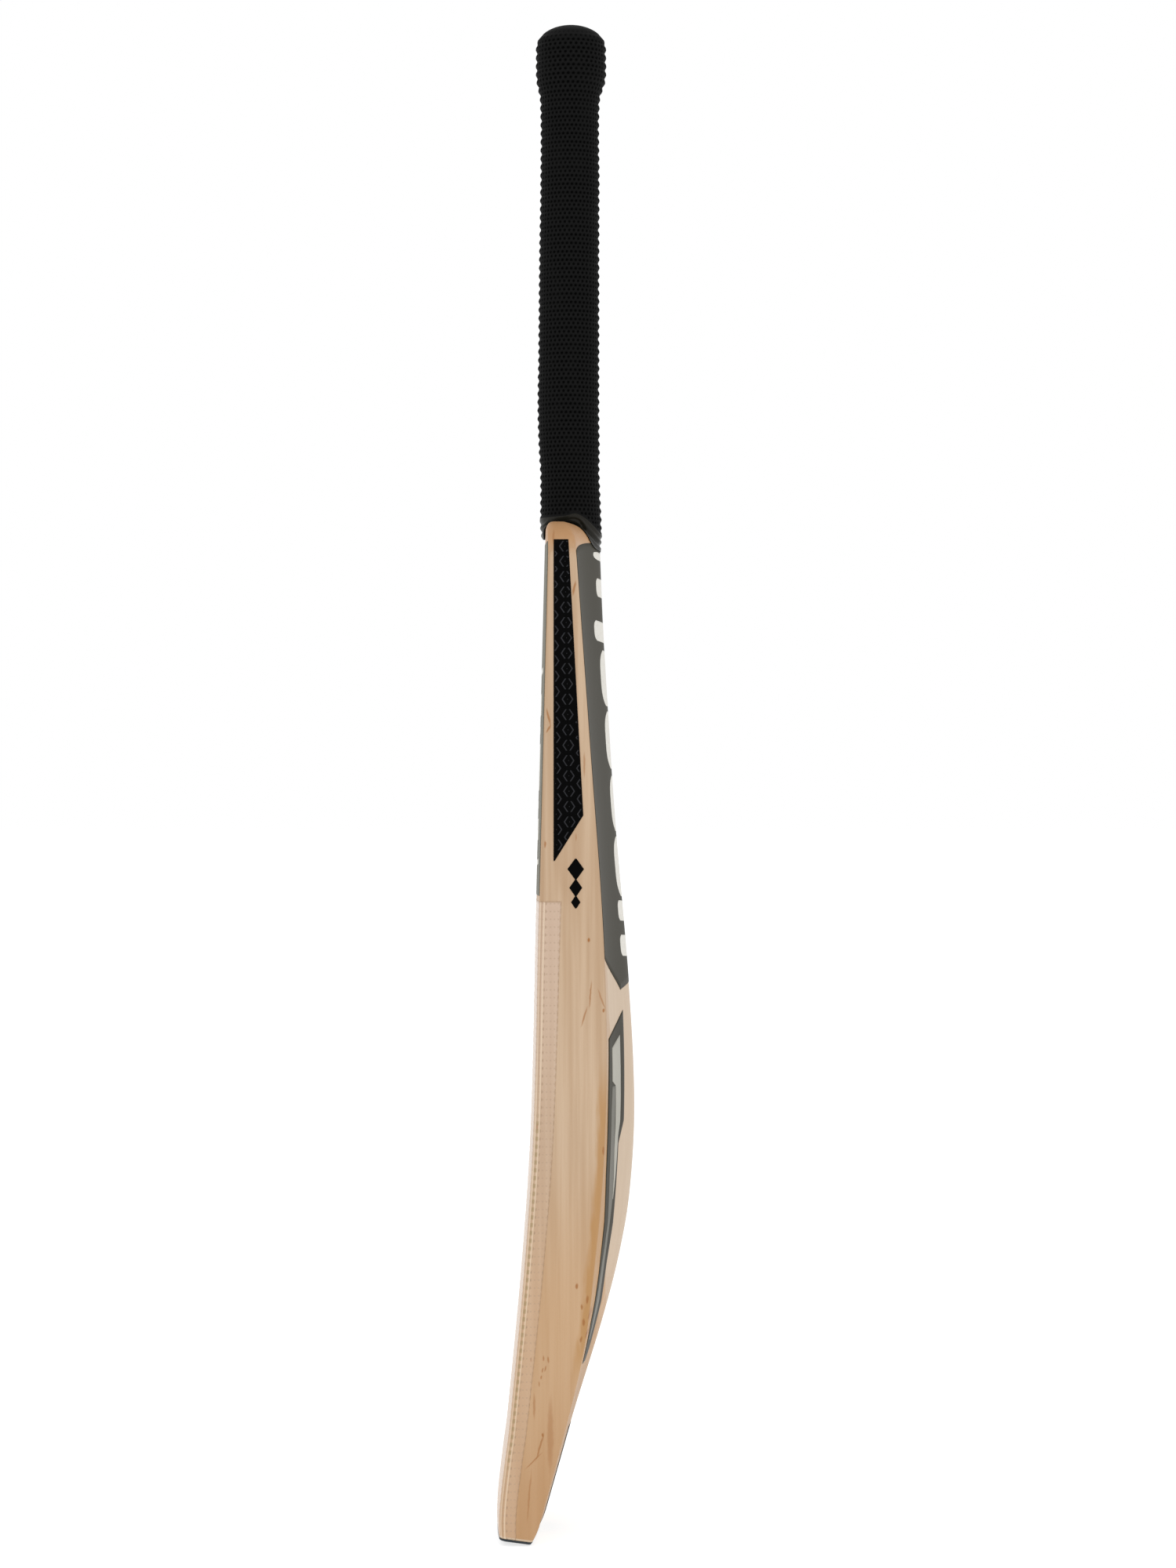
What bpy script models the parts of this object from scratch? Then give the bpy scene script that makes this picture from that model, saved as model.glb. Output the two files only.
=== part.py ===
"""Cricket bat, full size with a short handle, as the separate pieces it is made of.

Frame: metres, +Z up along the handle, -Y out of the hitting face, +Y out of the spine and X
across the blade. The origin is at the foot of the bat, in the middle of its width and depth.

The willow blade is a loft of cross-sections. A cane handle, laminated from sticks and rubber
strips, tapers into a V splice cut in the blade's top. Twine binds the handle, a rubber grip
covers it, a rubber guard closes the toe, and thin skins lie on the blade: a fibre sheet on the
face and adhesive labels elsewhere. Touching pieces keep a gap of 0.3 mm.
"""
import math

import bmesh
import bpy

MM = 0.001

# Driving dimensions, in millimetres
TOTAL_LENGTH = 854.4
BLADE_WIDTH = 108.0
GAP = 0.3                   # clearance between pieces that touch
SKIN = 0.3                  # thickness of the labels and of the fibre sheet
WOOD_INSET = GAP + SKIN     # the wood lies this far inside the blade's outer form

# The blade's side profile: (height, y) stations for the middle of the face, the ridge of the
# spine and the back corner of the edges
FACE_STATIONS = [(0, -38.3), (12, -38.6), (24, -37.9), (48, -35.2), (65, -33.0), (155, -24.5),
                 (231, -19.6), (351, -16.7), (572, -11.2)]
SPINE_STATIONS = [(0, -14.0), (65, 4.8), (119, 21.5), (155, 30.8), (190, 36.8), (240, 39.6),
                  (307, 36.6), (405, 28.3), (458, 24.8), (512, 21.6), (572, 19.2)]
EDGE_STATIONS = [(0, -16.8), (100, 9.3), (162, 17.6), (215, 22.0), (275, 23.6), (345, 21.3),
                 (445, 14.2), (527, 8.3), (572, 5.0)]

# The blade's cross-section
HALF_WIDTH = BLADE_WIDTH / 2
FACE_CROWN = 2.4            # how far the face curves back at its edges
FACE_CORNER = 4.0           # radius between the face and an edge
BACK_CORNER = 2.0           # size of the rounding between an edge and the back
RIDGE_HOLLOW = 1.35         # above 1, the back is hollow between the spine and the edges
RIDGE_ROUND = 0.12          # how blunt the spine's ridge is, as a share of the half width
FACE_STEPS, CORNER_STEPS = 4, 4     # points on half the face, and round its corner

# The blade's ends
TOE_TILT = math.radians(7.5)    # the toe slopes down towards the back
TOE_TILT_HEIGHT = 60.0      # the cross-sections are level above this height
TOE_CORNER = 4.0            # radius of the toe's corners, seen from the front
TOE_FRONT_RADIUS = 1.2
TOE_BACK_CHAMFER = 2.2      # depth of the worn back edge of the toe
TOE_BACK_CHAMFER_HEIGHT = 12.0
SHOULDER_START = 548.0
SHOULDER_TOP = 571.0
SHOULDER_NECK = 20.0        # half width of the wood at the top of the shoulders
SHOULDER_FRONT_RADIUS = 5.0
SHOULDER_BACK_RADIUS = 16.0

# The V splice
SPLICE_TIP = 436.0
SPLICE_HALF_TIP = 1.0
SPLICE_HALF_TOP = 17.0
SPLICE_SLOPE = (SPLICE_HALF_TOP - SPLICE_HALF_TIP) / (SHOULDER_TOP - SPLICE_TIP)
WEDGE_HALF_X = SPLICE_HALF_TOP + 2.0    # half width of the block that the splice is cut from
CUTTER_REACH = 60.0         # cutters and saws reach this far to each side

# The cane handle
HANDLE_Y = 2.7
CANE_HALF_X, CANE_HALF_Y = 13.1, 13.9
TURNED_BOTTOM, CANE_TOP = 560.0, 851.4
KNOB_HALF_X, KNOB_HALF_Y = 16.9, 17.2
KNOB_START, KNOB_FULL = 814.0, 824.0
KNOB_DOME, KNOB_FLAT = 11.5, 6.0    # height of its domed end, radius of the flat top
STICK_WIDTH = 9.4           # each slab is three sticks wide
SLAB_PITCH = 7.6            # between the rubber strips that part the four slabs
STRIP_THICKNESS = 1.6
SLIVER = 0.5                # the outer sticks stop where they are this thin

# The binding, the grip and the toe guard
BINDING_WALL = 0.8
BINDING_BOTTOM, BINDING_TOP = 573.0, 811.0
GRIP_WALL = 1.6
GRIP_BOTTOM = 572.0
GRIP_MOUTH = 5.5            # radius of the hole in the grip's top
GRIP_DOME = 13.2            # height of the domed top, if it had no mouth
GUARD_THICKNESS = 2.0

# The grip's outer form: (height, y of its middle, half depth, half width)
GRIP_STATIONS = [(572, 3.25, 17.65, 17.0), (600, 2.65, 17.05, 16.7), (611, 2.35, 17.45, 16.8),
                 (635, 1.85, 17.75, 16.9), (668, 2.05, 17.55, 16.8), (722, 2.3, 17.3, 16.6),
                 (766, 2.7, 17.0, 16.5), (812, 2.7, 17.2, 16.5), (824, 3.3, 19.9, 19.4),
                 (840, 3.3, 20.1, 19.6)]

# The skins on the blade
SHEET_TOP = 357.8           # the fibre sheet covers the face up to here
SHEET_WRAP_TOP, SHEET_WRAP_TOE = 14.7, 11.5     # how far it reaches onto the edges
FRONT_LABEL_BOTTOM, FRONT_LABEL_TOP = 360.9, 558.0
SPINE_LABEL_TOP, SPINE_LABEL_ARCH = 550.0, 9.6
SPINE_LABEL_SIDE, SPINE_LABEL_POINT, SPINE_LABEL_NOTCH = 326.0, 307.0, 311.0
SPINE_LABEL_POINT_X = 20.0
EDGE_LABEL_FRONT = -6.1
EDGE_LABEL_BACK_LOW, EDGE_LABEL_BACK_TOP = 10.4, 2.1    # its back side's y, at its two ends
EDGE_LABEL_TIP, EDGE_LABEL_SLANT, EDGE_LABEL_TOP = 380.3, 405.6, 559.0
EDGE_LABEL_BLUNT = 1.0      # the slant would meet the front side this far below the tip
FLASH_TOP_OUTSIDE, FLASH_TOP_INSIDE, FLASH_TIP = 281.0, 295.5, 103.0
# How far the flash's two sides lie behind the edge's back corner: (height, rise)
FLASH_OUTER_RISE = [(103, 0.8), (122, 1.5), (150, 2.9), (179, 2.9), (205, 1.7), (296, 1.0)]
FLASH_INNER_RISE = [(103, 2.4), (119, 4.6), (132, 6.2), (154, 6.8), (176, 8.0), (221, 7.8),
                    (233, 10.4), (296, 9.4)]
MARK_Y, MARK_BOTTOM, MARK_NECK = 6.2, 354.0, 0.4
MARK_SIZES = [(4.6, 5.8), (3.6, 4.6), (2.6, 3.4)]   # half depth and half height of each rhombus
TOE_LABEL_BOTTOM, TOE_LABEL_TOP, TOE_LABEL_HALF_WIDTH = 4.0, 60.0, 16.0

# Surface colours: (red, green, blue), roughness
WILLOW = ((0.56, 0.38, 0.22), 0.55)
CANE = ((0.52, 0.36, 0.18), 0.60)
SPRING_RUBBER = ((0.05, 0.05, 0.05), 0.80)
TWINE = ((0.42, 0.36, 0.27), 0.85)
GRIP_RUBBER = ((0.010, 0.010, 0.011), 0.60)
GUARD_RUBBER = ((0.018, 0.022, 0.026), 0.55)
FIBRE_SHEET = ((0.60, 0.45, 0.30), 0.35)
GREY_LABEL = ((0.105, 0.098, 0.078), 0.40)
BLACK_LABEL = ((0.006, 0.006, 0.007), 0.35)


# ---------------------------------------------------------------- curves and sections

def smooth_curve(stations):
    """Return a function that runs smoothly through (position, value) stations."""
    count = len(stations)

    def slope(i):
        before, after = stations[max(i - 1, 0)], stations[min(i + 1, count - 1)]
        return (after[1] - before[1]) / (after[0] - before[0])

    def value(position):
        i = 0
        while i < count - 2 and position > stations[i + 1][0]:
            i += 1
        (p0, v0), (p1, v1) = stations[i], stations[i + 1]
        span = p1 - p0
        t = min(max((position - p0) / span, 0.0), 1.0)
        rise = v0 * (1 + 2 * t) * (1 - t) ** 2 + v1 * t * t * (3 - 2 * t)
        lean = slope(i) * t * (1 - t) ** 2 - slope(i + 1) * t * t * (1 - t)
        return rise + span * lean

    return value


face_y = smooth_curve(FACE_STATIONS)
spine_y = smooth_curve(SPINE_STATIONS)
edge_y = smooth_curve(EDGE_STATIONS)


def round_inset(distance, radius):
    """How far a round corner lies inside the square one, at a distance from its end."""
    if distance >= radius:
        return 0.0
    return radius - math.sqrt(max(radius ** 2 - (radius - max(distance, 0.0)) ** 2, 0.0))


def spread(low, high, steps):
    """Evenly spaced values from low to high, both included."""
    return [low + (high - low) * i / steps for i in range(steps + 1)]


def form_half_width(z):
    """Half the blade's width: rounded at the toe's corners and at the shoulders."""
    if z > SHOULDER_START:
        climb = min((z - SHOULDER_START) / (SHOULDER_TOP - SHOULDER_START), 1.0)
        return SHOULDER_NECK + (HALF_WIDTH - SHOULDER_NECK) * math.sqrt(1 - climb ** 2)
    return HALF_WIDTH - round_inset(z, TOE_CORNER)


def form_front(x, z):
    """The y of the blade's face, crowned across its width."""
    y = face_y(z) + FACE_CROWN * (x / HALF_WIDTH) ** 2 + round_inset(z, TOE_FRONT_RADIUS)
    return y + round_inset(SHOULDER_TOP - z, SHOULDER_FRONT_RADIUS)


def blunt(t):
    """A V with a rounded point: 0 at the middle, and nearly straight away from it."""
    return math.sqrt(t * t + RIDGE_ROUND ** 2) - RIDGE_ROUND


def form_back(x, z):
    """The y of the blade's back, from a blunt ridge down to the edges."""
    across = blunt(min(abs(x) / HALF_WIDTH, 1.0)) / blunt(1.0)
    y = edge_y(z) + (spine_y(z) - edge_y(z)) * (1 - across) ** RIDGE_HOLLOW
    y -= TOE_BACK_CHAMFER * max(0.0, 1 - z / TOE_BACK_CHAMFER_HEIGHT) ** 2
    return y - round_inset(SHOULDER_TOP - z, SHOULDER_BACK_RADIUS)


def back_x(rise, z):
    """The x where the back lies a given rise behind the edge's corner."""
    across = 1 - (rise / (spine_y(z) - edge_y(z))) ** (1 / RIDGE_HOLLOW)
    return HALF_WIDTH * math.sqrt((across * blunt(1.0) + RIDGE_ROUND) ** 2 - RIDGE_ROUND ** 2)


TOE_LOW_Y = form_back(0.0, 0.0)


def tilted(x, y, z):
    """A point of the blade, with the sections near the toe leaning down to the back."""
    fade = max(0.0, 1 - z / TOE_TILT_HEIGHT)
    return (x, y, z + math.tan(TOE_TILT) * (TOE_LOW_Y - y) * fade)


def half_section(z, inset):
    """Points of the blade at one height for x >= 0, from mid face to mid spine."""
    side = form_half_width(z) - inset
    depth = form_back(side, z) - form_front(side, z)
    front_radius = min(FACE_CORNER, depth / 3) - inset
    points = []
    for x in spread(0.0, side - front_radius, FACE_STEPS)[:-1]:
        points.append((x, form_front(x, z) + inset))
    corner_y = form_front(side - front_radius, z) + inset + front_radius
    for angle in spread(-90, 0, CORNER_STEPS):
        turn = math.radians(angle)
        points.append((side - front_radius + front_radius * math.cos(turn),
                       corner_y + front_radius * math.sin(turn)))
    edge_end = form_back(side, z) - inset
    back_size = min(BACK_CORNER, (edge_end - corner_y) / 3)
    for y in spread(corner_y, edge_end - back_size, 3)[1:-1]:
        points.append((side, y))
    shoulder_y = form_back(side - back_size, z) - inset
    for t in spread(0.0, 1.0, 3):
        x = side - back_size * t ** 2
        y = (edge_end - back_size) * (1 - t) ** 2 + 2 * edge_end * t * (1 - t) + shoulder_y * t ** 2
        points.append((x, y))
    for t in spread(0.0, 1.0, 8)[1:]:
        x = (side - back_size) * (1 - t)
        points.append((x, form_back(x, z) - inset))
    return points


def blade_ring(z, inset):
    """The blade's closed outline at one height, anticlockwise from above."""
    half = half_section(z, inset)
    loop = half + [(-x, y) for x, y in reversed(half[1:-1])]
    return [tilted(x, y, z) for x, y in loop]


def oval_ring(z, middle_y, half_depth, half_width, sides=32):
    """A level oval, anticlockwise from above."""
    ring = []
    for i in range(sides):
        turn = 2 * math.pi * i / sides
        ring.append((half_width * math.cos(turn), middle_y + half_depth * math.sin(turn), z))
    return ring


def dome_rings(top, height, middle_y, half_depth, half_width, flat, steps=6):
    """Ovals up a dome, to the edge of a flat or a mouth in its top."""
    end = math.acos(flat / half_depth)
    rings = []
    for turn in spread(0.0, end, steps):
        z = top - height * (math.sin(end) - math.sin(turn))
        share = math.cos(turn)
        rings.append(oval_ring(z, middle_y, half_depth * share, half_width * share))
    return rings


# ---------------------------------------------------------------- building blocks

def make_collection(name):
    collection = bpy.data.collections.new(name)
    bpy.context.scene.collection.children.link(collection)
    return collection


def make_material(name, look):
    colour, roughness = look
    material = bpy.data.materials.new(name)
    material.use_nodes = True
    shader = material.node_tree.nodes["Principled BSDF"]
    shader.inputs["Base Color"].default_value = (*colour, 1.0)
    shader.inputs["Roughness"].default_value = roughness
    shader.inputs["Metallic"].default_value = 0.0
    material.diffuse_color = (*colour, 1.0)
    return material


def finish_mesh(name, mesh_builder, look=None, smooth_angle=30):
    """Turn a bmesh into an object of the bat, or into a plain blank when it has no look."""
    mesh = bpy.data.meshes.new(name)
    mesh_builder.to_mesh(mesh)
    mesh_builder.free()
    obj = bpy.data.objects.new(name, mesh)
    (bat if look else blanks).objects.link(obj)
    if look:
        mesh.materials.append(make_material(name, look))
        mesh.shade_smooth()
        mesh.set_sharp_from_angle(angle=math.radians(smooth_angle))
    else:
        obj.hide_render = True
        obj.display_type = "WIRE"
    return obj


def add_loft(builder, rings, closed=False):
    """Skin level rings, stacked upwards; a closed loft joins the last ring to the first."""
    rows = [[builder.verts.new([c * MM for c in point]) for point in ring] for ring in rings]
    count = len(rows[0])
    pairs = list(zip(rows, rows[1:]))
    if closed:
        pairs.append((rows[-1], rows[0]))
    else:
        builder.faces.new(list(reversed(rows[0])))
        builder.faces.new(rows[-1])
    for low, high in pairs:
        for i in range(count):
            j = (i + 1) % count
            builder.faces.new([low[i], low[j], high[j], high[i]])


def loft(name, rings, look=None, closed=False):
    builder = bmesh.new()
    add_loft(builder, rings, closed)
    return finish_mesh(name, builder, look)


def tapered_block(name, x_bottom, x_top, y_range, z_range):
    """A block from a cube, whose x range may change from its bottom to its top."""
    builder = bmesh.new()
    bmesh.ops.create_cube(builder, size=2.0)
    for vertex in builder.verts:
        low, high = x_top if vertex.co.z > 0 else x_bottom
        corner = (high if vertex.co.x > 0 else low, y_range[vertex.co.y > 0],
                  z_range[vertex.co.z > 0])
        vertex.co = [c * MM for c in corner]
    return finish_mesh(name, builder)


def boolean(target, tool, operation):
    """Apply a Boolean with the tool to the target's mesh, and drop the tool."""
    modifier = target.modifiers.new("cut", "BOOLEAN")
    modifier.operation = operation
    modifier.object = tool
    graph = bpy.context.evaluated_depsgraph_get()
    result = bpy.data.meshes.new_from_object(target.evaluated_get(graph), depsgraph=graph)
    target.modifiers.clear()
    target.data = result
    bpy.data.objects.remove(tool)
    return target


def skin(name, rows, look):
    """A thin skin: rows of points on the blade's outer form, thickened inwards."""
    builder = bmesh.new()
    grid = [[builder.verts.new([c * MM for c in tilted(*point)]) for point in row] for row in rows]
    for low, high in zip(grid, grid[1:]):
        for i in range(len(low) - 1):
            builder.faces.new([low[i], low[i + 1], high[i + 1], high[i]])
    obj = finish_mesh(name, builder, look)
    solidify = obj.modifiers.new("thickness", "SOLIDIFY")
    solidify.thickness = SKIN * MM
    solidify.offset = -1.0
    return obj


# ---------------------------------------------------------------- the wooden pieces

def blade_heights():
    """Heights of the blade's cross-sections: close at the ends, wider between them."""
    toe = [GUARD_THICKNESS + GAP, 3.2, 5.0, 9.0, 15.0]
    body = spread(30.0, SHOULDER_START, 22)
    shoulder = []
    for angle in (20, 38, 54, 68, 80, 90):
        rise = SHOULDER_TOP - SHOULDER_START
        shoulder.append(SHOULDER_START + rise * math.sin(math.radians(angle)))
    return toe + body + shoulder


def splice_block(name, clearance):
    """The V of the splice, as a block through the whole depth of the blade."""
    depth = (-CUTTER_REACH, CUTTER_REACH)
    low_z, high_z = SPLICE_TIP - clearance, SHOULDER_TOP + 0.5
    low_x = SPLICE_HALF_TIP + clearance
    high_x = SPLICE_HALF_TOP + clearance + SPLICE_SLOPE * (high_z - SHOULDER_TOP)
    return tapered_block(name, (-low_x, low_x), (-high_x, high_x), depth, (low_z, high_z))


def build_blade():
    rings = [blade_ring(z, WOOD_INSET) for z in blade_heights()]
    blade = loft("blade", rings, WILLOW)
    boolean(blade, splice_block("splice_slot", GAP), "DIFFERENCE")


def cane_rings():
    """The turned handle from the shoulders up, with its knob and rounded end."""
    rings = []
    sizes = [(TURNED_BOTTOM, 0.0), (640.0, 0.0), (730.0, 0.0), (KNOB_START, 0.0)]
    for share in (0.25, 0.5, 0.75, 1.0):
        bulge = (1 - math.cos(math.pi * share)) / 2
        sizes.append((KNOB_START + (KNOB_FULL - KNOB_START) * share, bulge))
    for z, bulge in sizes:
        rings.append(oval_ring(z, HANDLE_Y, CANE_HALF_Y + (KNOB_HALF_Y - CANE_HALF_Y) * bulge,
                               CANE_HALF_X + (KNOB_HALF_X - CANE_HALF_X) * bulge))
    return rings + dome_rings(CANE_TOP, KNOB_DOME, HANDLE_Y, KNOB_HALF_Y, KNOB_HALF_X, KNOB_FLAT)


def handle_blank():
    """The whole cane handle in one piece, before it is sawn into sticks."""
    heights = [SPLICE_TIP - 5.0] + spread(455.0, SHOULDER_START, 5)
    heights += spread(SHOULDER_START + 5, SHOULDER_TOP - 1, 6) + [SHOULDER_TOP]
    wedge_rings = []
    for z in heights:
        xs = spread(-WEDGE_HALF_X, WEDGE_HALF_X, 6)
        front = [(x, form_front(x, z) + WOOD_INSET, z) for x in xs]
        back = [(x, form_back(x, z) - WOOD_INSET, z) for x in reversed(xs)]
        wedge_rings.append(front + back)
    wedge = loft("splice_wedge", wedge_rings)
    boolean(wedge, splice_block("splice_shape", 0.0), "INTERSECT")
    return boolean(wedge, loft("turned_handle", cane_rings()), "UNION")


def handle_piece(name, blank, x_range, y_range, bottom, look):
    """The share of the handle between two x and two y planes."""
    mesh = blank.data.copy()
    piece = bpy.data.objects.new(name, mesh)
    bat.objects.link(piece)
    boolean(piece, tapered_block("saw", x_range, x_range, y_range, (bottom, TOTAL_LENGTH)),
            "INTERSECT")
    piece.data.materials.clear()
    piece.data.materials.append(make_material(name, look))
    piece.data.shade_smooth()
    piece.data.set_sharp_from_angle(angle=math.radians(30))


def build_handle():
    """Four slabs of three cane sticks, with three rubber strips between the slabs."""
    blank = handle_blank()
    half_seam = STRIP_THICKNESS / 2 + GAP
    seams = [HANDLE_Y + SLAB_PITCH * i for i in (-1, 0, 1)]
    lows = [-CUTTER_REACH] + [y + half_seam for y in seams]
    highs = [y - half_seam for y in seams] + [CUTTER_REACH]
    inner = STICK_WIDTH / 2
    outer_bottom = SPLICE_TIP + (inner + GAP + SLIVER - SPLICE_HALF_TIP) / SPLICE_SLOPE
    spans = {"left": (-CUTTER_REACH, -inner - GAP), "middle": (-inner, inner),
             "right": (inner + GAP, CUTTER_REACH)}
    for slab, y_range in enumerate(zip(lows, highs), start=1):
        for side, x_range in spans.items():
            bottom = SPLICE_TIP - 10 if side == "middle" else outer_bottom
            handle_piece(f"cane_{slab}_{side}", blank, x_range, y_range, bottom, CANE)
    for place, y in zip(("front", "middle", "back"), seams):
        y_range = (y - STRIP_THICKNESS / 2, y + STRIP_THICKNESS / 2)
        handle_piece(f"spring_strip_{place}", blank, (-CUTTER_REACH, CUTTER_REACH), y_range,
                     SPLICE_TIP - 10, SPRING_RUBBER)
    bpy.data.objects.remove(blank)


# ---------------------------------------------------------------- the handle's covers

def build_binding():
    """The twine round the handle, as one thin sleeve."""
    def ring(z, offset):
        return oval_ring(z, HANDLE_Y, CANE_HALF_Y + offset, CANE_HALF_X + offset)

    heights = spread(BINDING_BOTTOM, BINDING_TOP, 2)
    outside = [ring(z, GAP + BINDING_WALL) for z in heights]
    inside = [ring(z, GAP) for z in reversed(heights)]
    loft("binding", outside + inside, TWINE, closed=True)


def grip_rings(inset, top):
    """The grip's outline, inset by its wall, from its bottom edge to the mouth in its top."""
    middle = smooth_curve([(z, y) for z, y, _, _ in GRIP_STATIONS])
    depth = smooth_curve([(z, half) for z, _, half, _ in GRIP_STATIONS])
    width = smooth_curve([(z, half) for z, _, _, half in GRIP_STATIONS])
    heights = spread(GRIP_BOTTOM, 668.0, 8) + spread(695.0, 812.0, 4)
    heights += [815.0, 818.0, 821.0, 824.0, 832.0]
    rings = [oval_ring(z, middle(z), depth(z) - inset, width(z) - inset) for z in heights]
    _, knob_y, half_depth, half_width = GRIP_STATIONS[-1]
    return rings + dome_rings(top, GRIP_DOME - inset, knob_y, half_depth - inset,
                              half_width - inset, GRIP_MOUTH)


def build_grip():
    """The rubber sleeve, open at the bottom and with a round mouth in its top."""
    outside = grip_rings(0.0, TOTAL_LENGTH)
    inside = grip_rings(GRIP_WALL, TOTAL_LENGTH - GRIP_WALL)
    loft("grip", outside + list(reversed(inside)), GRIP_RUBBER, closed=True)


def build_toe_guard():
    heights = [0.0, 0.15, 0.6, 1.2, GUARD_THICKNESS]
    loft("toe_guard", [blade_ring(z, 0.0) for z in heights], GUARD_RUBBER)


# ---------------------------------------------------------------- the skins on the blade

def build_face_sheet():
    """The fibre sheet over the face, wrapped round both corners onto the edges."""
    rows = []
    bottom = GUARD_THICKNESS + 2 * GAP
    for z in [bottom, 5.0] + spread(15.0, SHEET_TOP, 14):
        wrap = SHEET_WRAP_TOE + (SHEET_WRAP_TOP - SHEET_WRAP_TOE) * z / SHEET_TOP
        limit = face_y(z) + wrap
        half = half_section(z, 0.0)[:FACE_STEPS + CORNER_STEPS + 1]
        half.append((half[-1][0], limit))
        row = [(-x, y, z) for x, y in reversed(half[1:])] + [(x, y, z) for x, y in half]
        rows.append(row)
    skin("face_sheet", rows, FIBRE_SHEET)


def build_front_label():
    reach = HALF_WIDTH - FACE_CORNER
    rows = []
    for z in spread(FRONT_LABEL_BOTTOM, FRONT_LABEL_TOP, 8):
        x_end = min(reach, form_half_width(z) - FACE_CORNER)
        rows.append([(x, form_front(x, z), z) for x in spread(-x_end, x_end, 8)])
    skin("front_label", rows, GREY_LABEL)


def back_row(x_from, x_to, height_at):
    """Points across the back from one x to another, each at the height its x gives."""
    xs = spread(x_from, x_to, 16)
    return [(x, form_back(x, height_at(x)), height_at(x)) for x in xs]


def build_spine_label():
    """The long label over the spine: an arched top, and a shallow double point below."""
    reach = HALF_WIDTH - BACK_CORNER

    def lower_end(x):
        inside = abs(x) / SPINE_LABEL_POINT_X
        if inside < 1:
            return SPINE_LABEL_NOTCH + (SPINE_LABEL_POINT - SPINE_LABEL_NOTCH) * inside
        outside = (abs(x) - SPINE_LABEL_POINT_X) / (reach - SPINE_LABEL_POINT_X)
        return SPINE_LABEL_POINT + (SPINE_LABEL_SIDE - SPINE_LABEL_POINT) * outside

    def upper_end(x):
        return SPINE_LABEL_TOP + SPINE_LABEL_ARCH * math.sqrt(1 - (x / HALF_WIDTH) ** 2)

    def height_at(share):
        return lambda x: lower_end(x) * (1 - share) + upper_end(x) * share

    shares = spread(0.0, 0.94, 9) + spread(0.96, 1.0, 4)    # closer over the shoulder's curve
    rows = [back_row(reach, -reach, height_at(share)) for share in shares]
    skin("spine_label", rows, GREY_LABEL)


def build_flash(name, side):
    """A tapering label on one slope of the back, slanted at its top."""
    outer, inner = smooth_curve(FLASH_OUTER_RISE), smooth_curve(FLASH_INNER_RISE)
    rows = []
    for share in spread(0.0, 1.0, 16):
        row = []
        for across in spread(0.0, 1.0, 4):
            top = FLASH_TOP_OUTSIDE + (FLASH_TOP_INSIDE - FLASH_TOP_OUTSIDE) * across
            z = FLASH_TIP * (1 - share) + top * share
            x = back_x(outer(z) * (1 - across) + inner(z) * across, z)
            row.append((side * x, form_back(x, z), z))
        rows.append(row if side > 0 else list(reversed(row)))
    skin(name, rows, GREY_LABEL)


def edge_row(side, front, back, z):
    """Points across one edge of the blade, in the order that faces them outwards."""
    ys = spread(front, back, 3)
    if side < 0:
        ys.reverse()
    return [(side * form_half_width(z), y, z) for y in ys]


def edge_label_back(z):
    """The y of an edge label's back side, which is straight down to its slanted end."""
    if z < EDGE_LABEL_SLANT:
        point = EDGE_LABEL_TIP - EDGE_LABEL_BLUNT
        share = (z - point) / (EDGE_LABEL_SLANT - point)
        return EDGE_LABEL_FRONT + (EDGE_LABEL_BACK_LOW - EDGE_LABEL_FRONT) * share
    share = (z - EDGE_LABEL_SLANT) / (EDGE_LABEL_TOP - EDGE_LABEL_SLANT)
    return EDGE_LABEL_BACK_LOW + (EDGE_LABEL_BACK_TOP - EDGE_LABEL_BACK_LOW) * share


def build_edge_label(name, side):
    """The long label on one edge, cut off at a slant at its lower end."""
    rows = []
    heights = spread(EDGE_LABEL_TIP, EDGE_LABEL_SLANT, 3) + spread(425.0, SHOULDER_START, 5)
    heights += spread(SHOULDER_START, EDGE_LABEL_TOP, 3)[1:]
    for z in heights:
        rows.append(edge_row(side, EDGE_LABEL_FRONT, edge_label_back(z), z))
    skin(name, rows, BLACK_LABEL)


def build_edge_mark(name, side):
    """A plain ornament on one edge: a chain of three rhombi, each smaller than the last."""
    rows = []
    z = MARK_BOTTOM
    for half_y, half_z in reversed(MARK_SIZES):
        for half, rise in ((MARK_NECK, half_z), (half_y, half_z)):
            rows.append(edge_row(side, MARK_Y - half, MARK_Y + half, z))
            z += rise
    rows.append(edge_row(side, MARK_Y - MARK_NECK, MARK_Y + MARK_NECK, z))
    skin(name, rows, BLACK_LABEL)


def build_toe_label():
    """The narrow label up the back of the toe."""
    heights = [TOE_LABEL_BOTTOM] + spread(TOE_BACK_CHAMFER_HEIGHT, TOE_LABEL_TOP, 5)
    xs = spread(TOE_LABEL_HALF_WIDTH, -TOE_LABEL_HALF_WIDTH, 8)
    rows = [[(x, form_back(x, z), z) for x in xs] for z in heights]
    skin("toe_label", rows, GREY_LABEL)


# ---------------------------------------------------------------- the whole bat

def clear_scene():
    for obj in list(bpy.data.objects):
        bpy.data.objects.remove(obj)


clear_scene()
bat = make_collection("cricket_bat")
blanks = make_collection("cutters")

build_blade()
build_handle()
build_binding()
build_grip()
build_toe_guard()
build_face_sheet()
build_front_label()
build_spine_label()
build_toe_label()
for hand, direction in (("left", -1), ("right", 1)):
    build_flash(f"back_flash_{hand}", direction)
    build_edge_label(f"edge_label_{hand}", direction)
    build_edge_mark(f"edge_mark_{hand}", direction)
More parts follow.
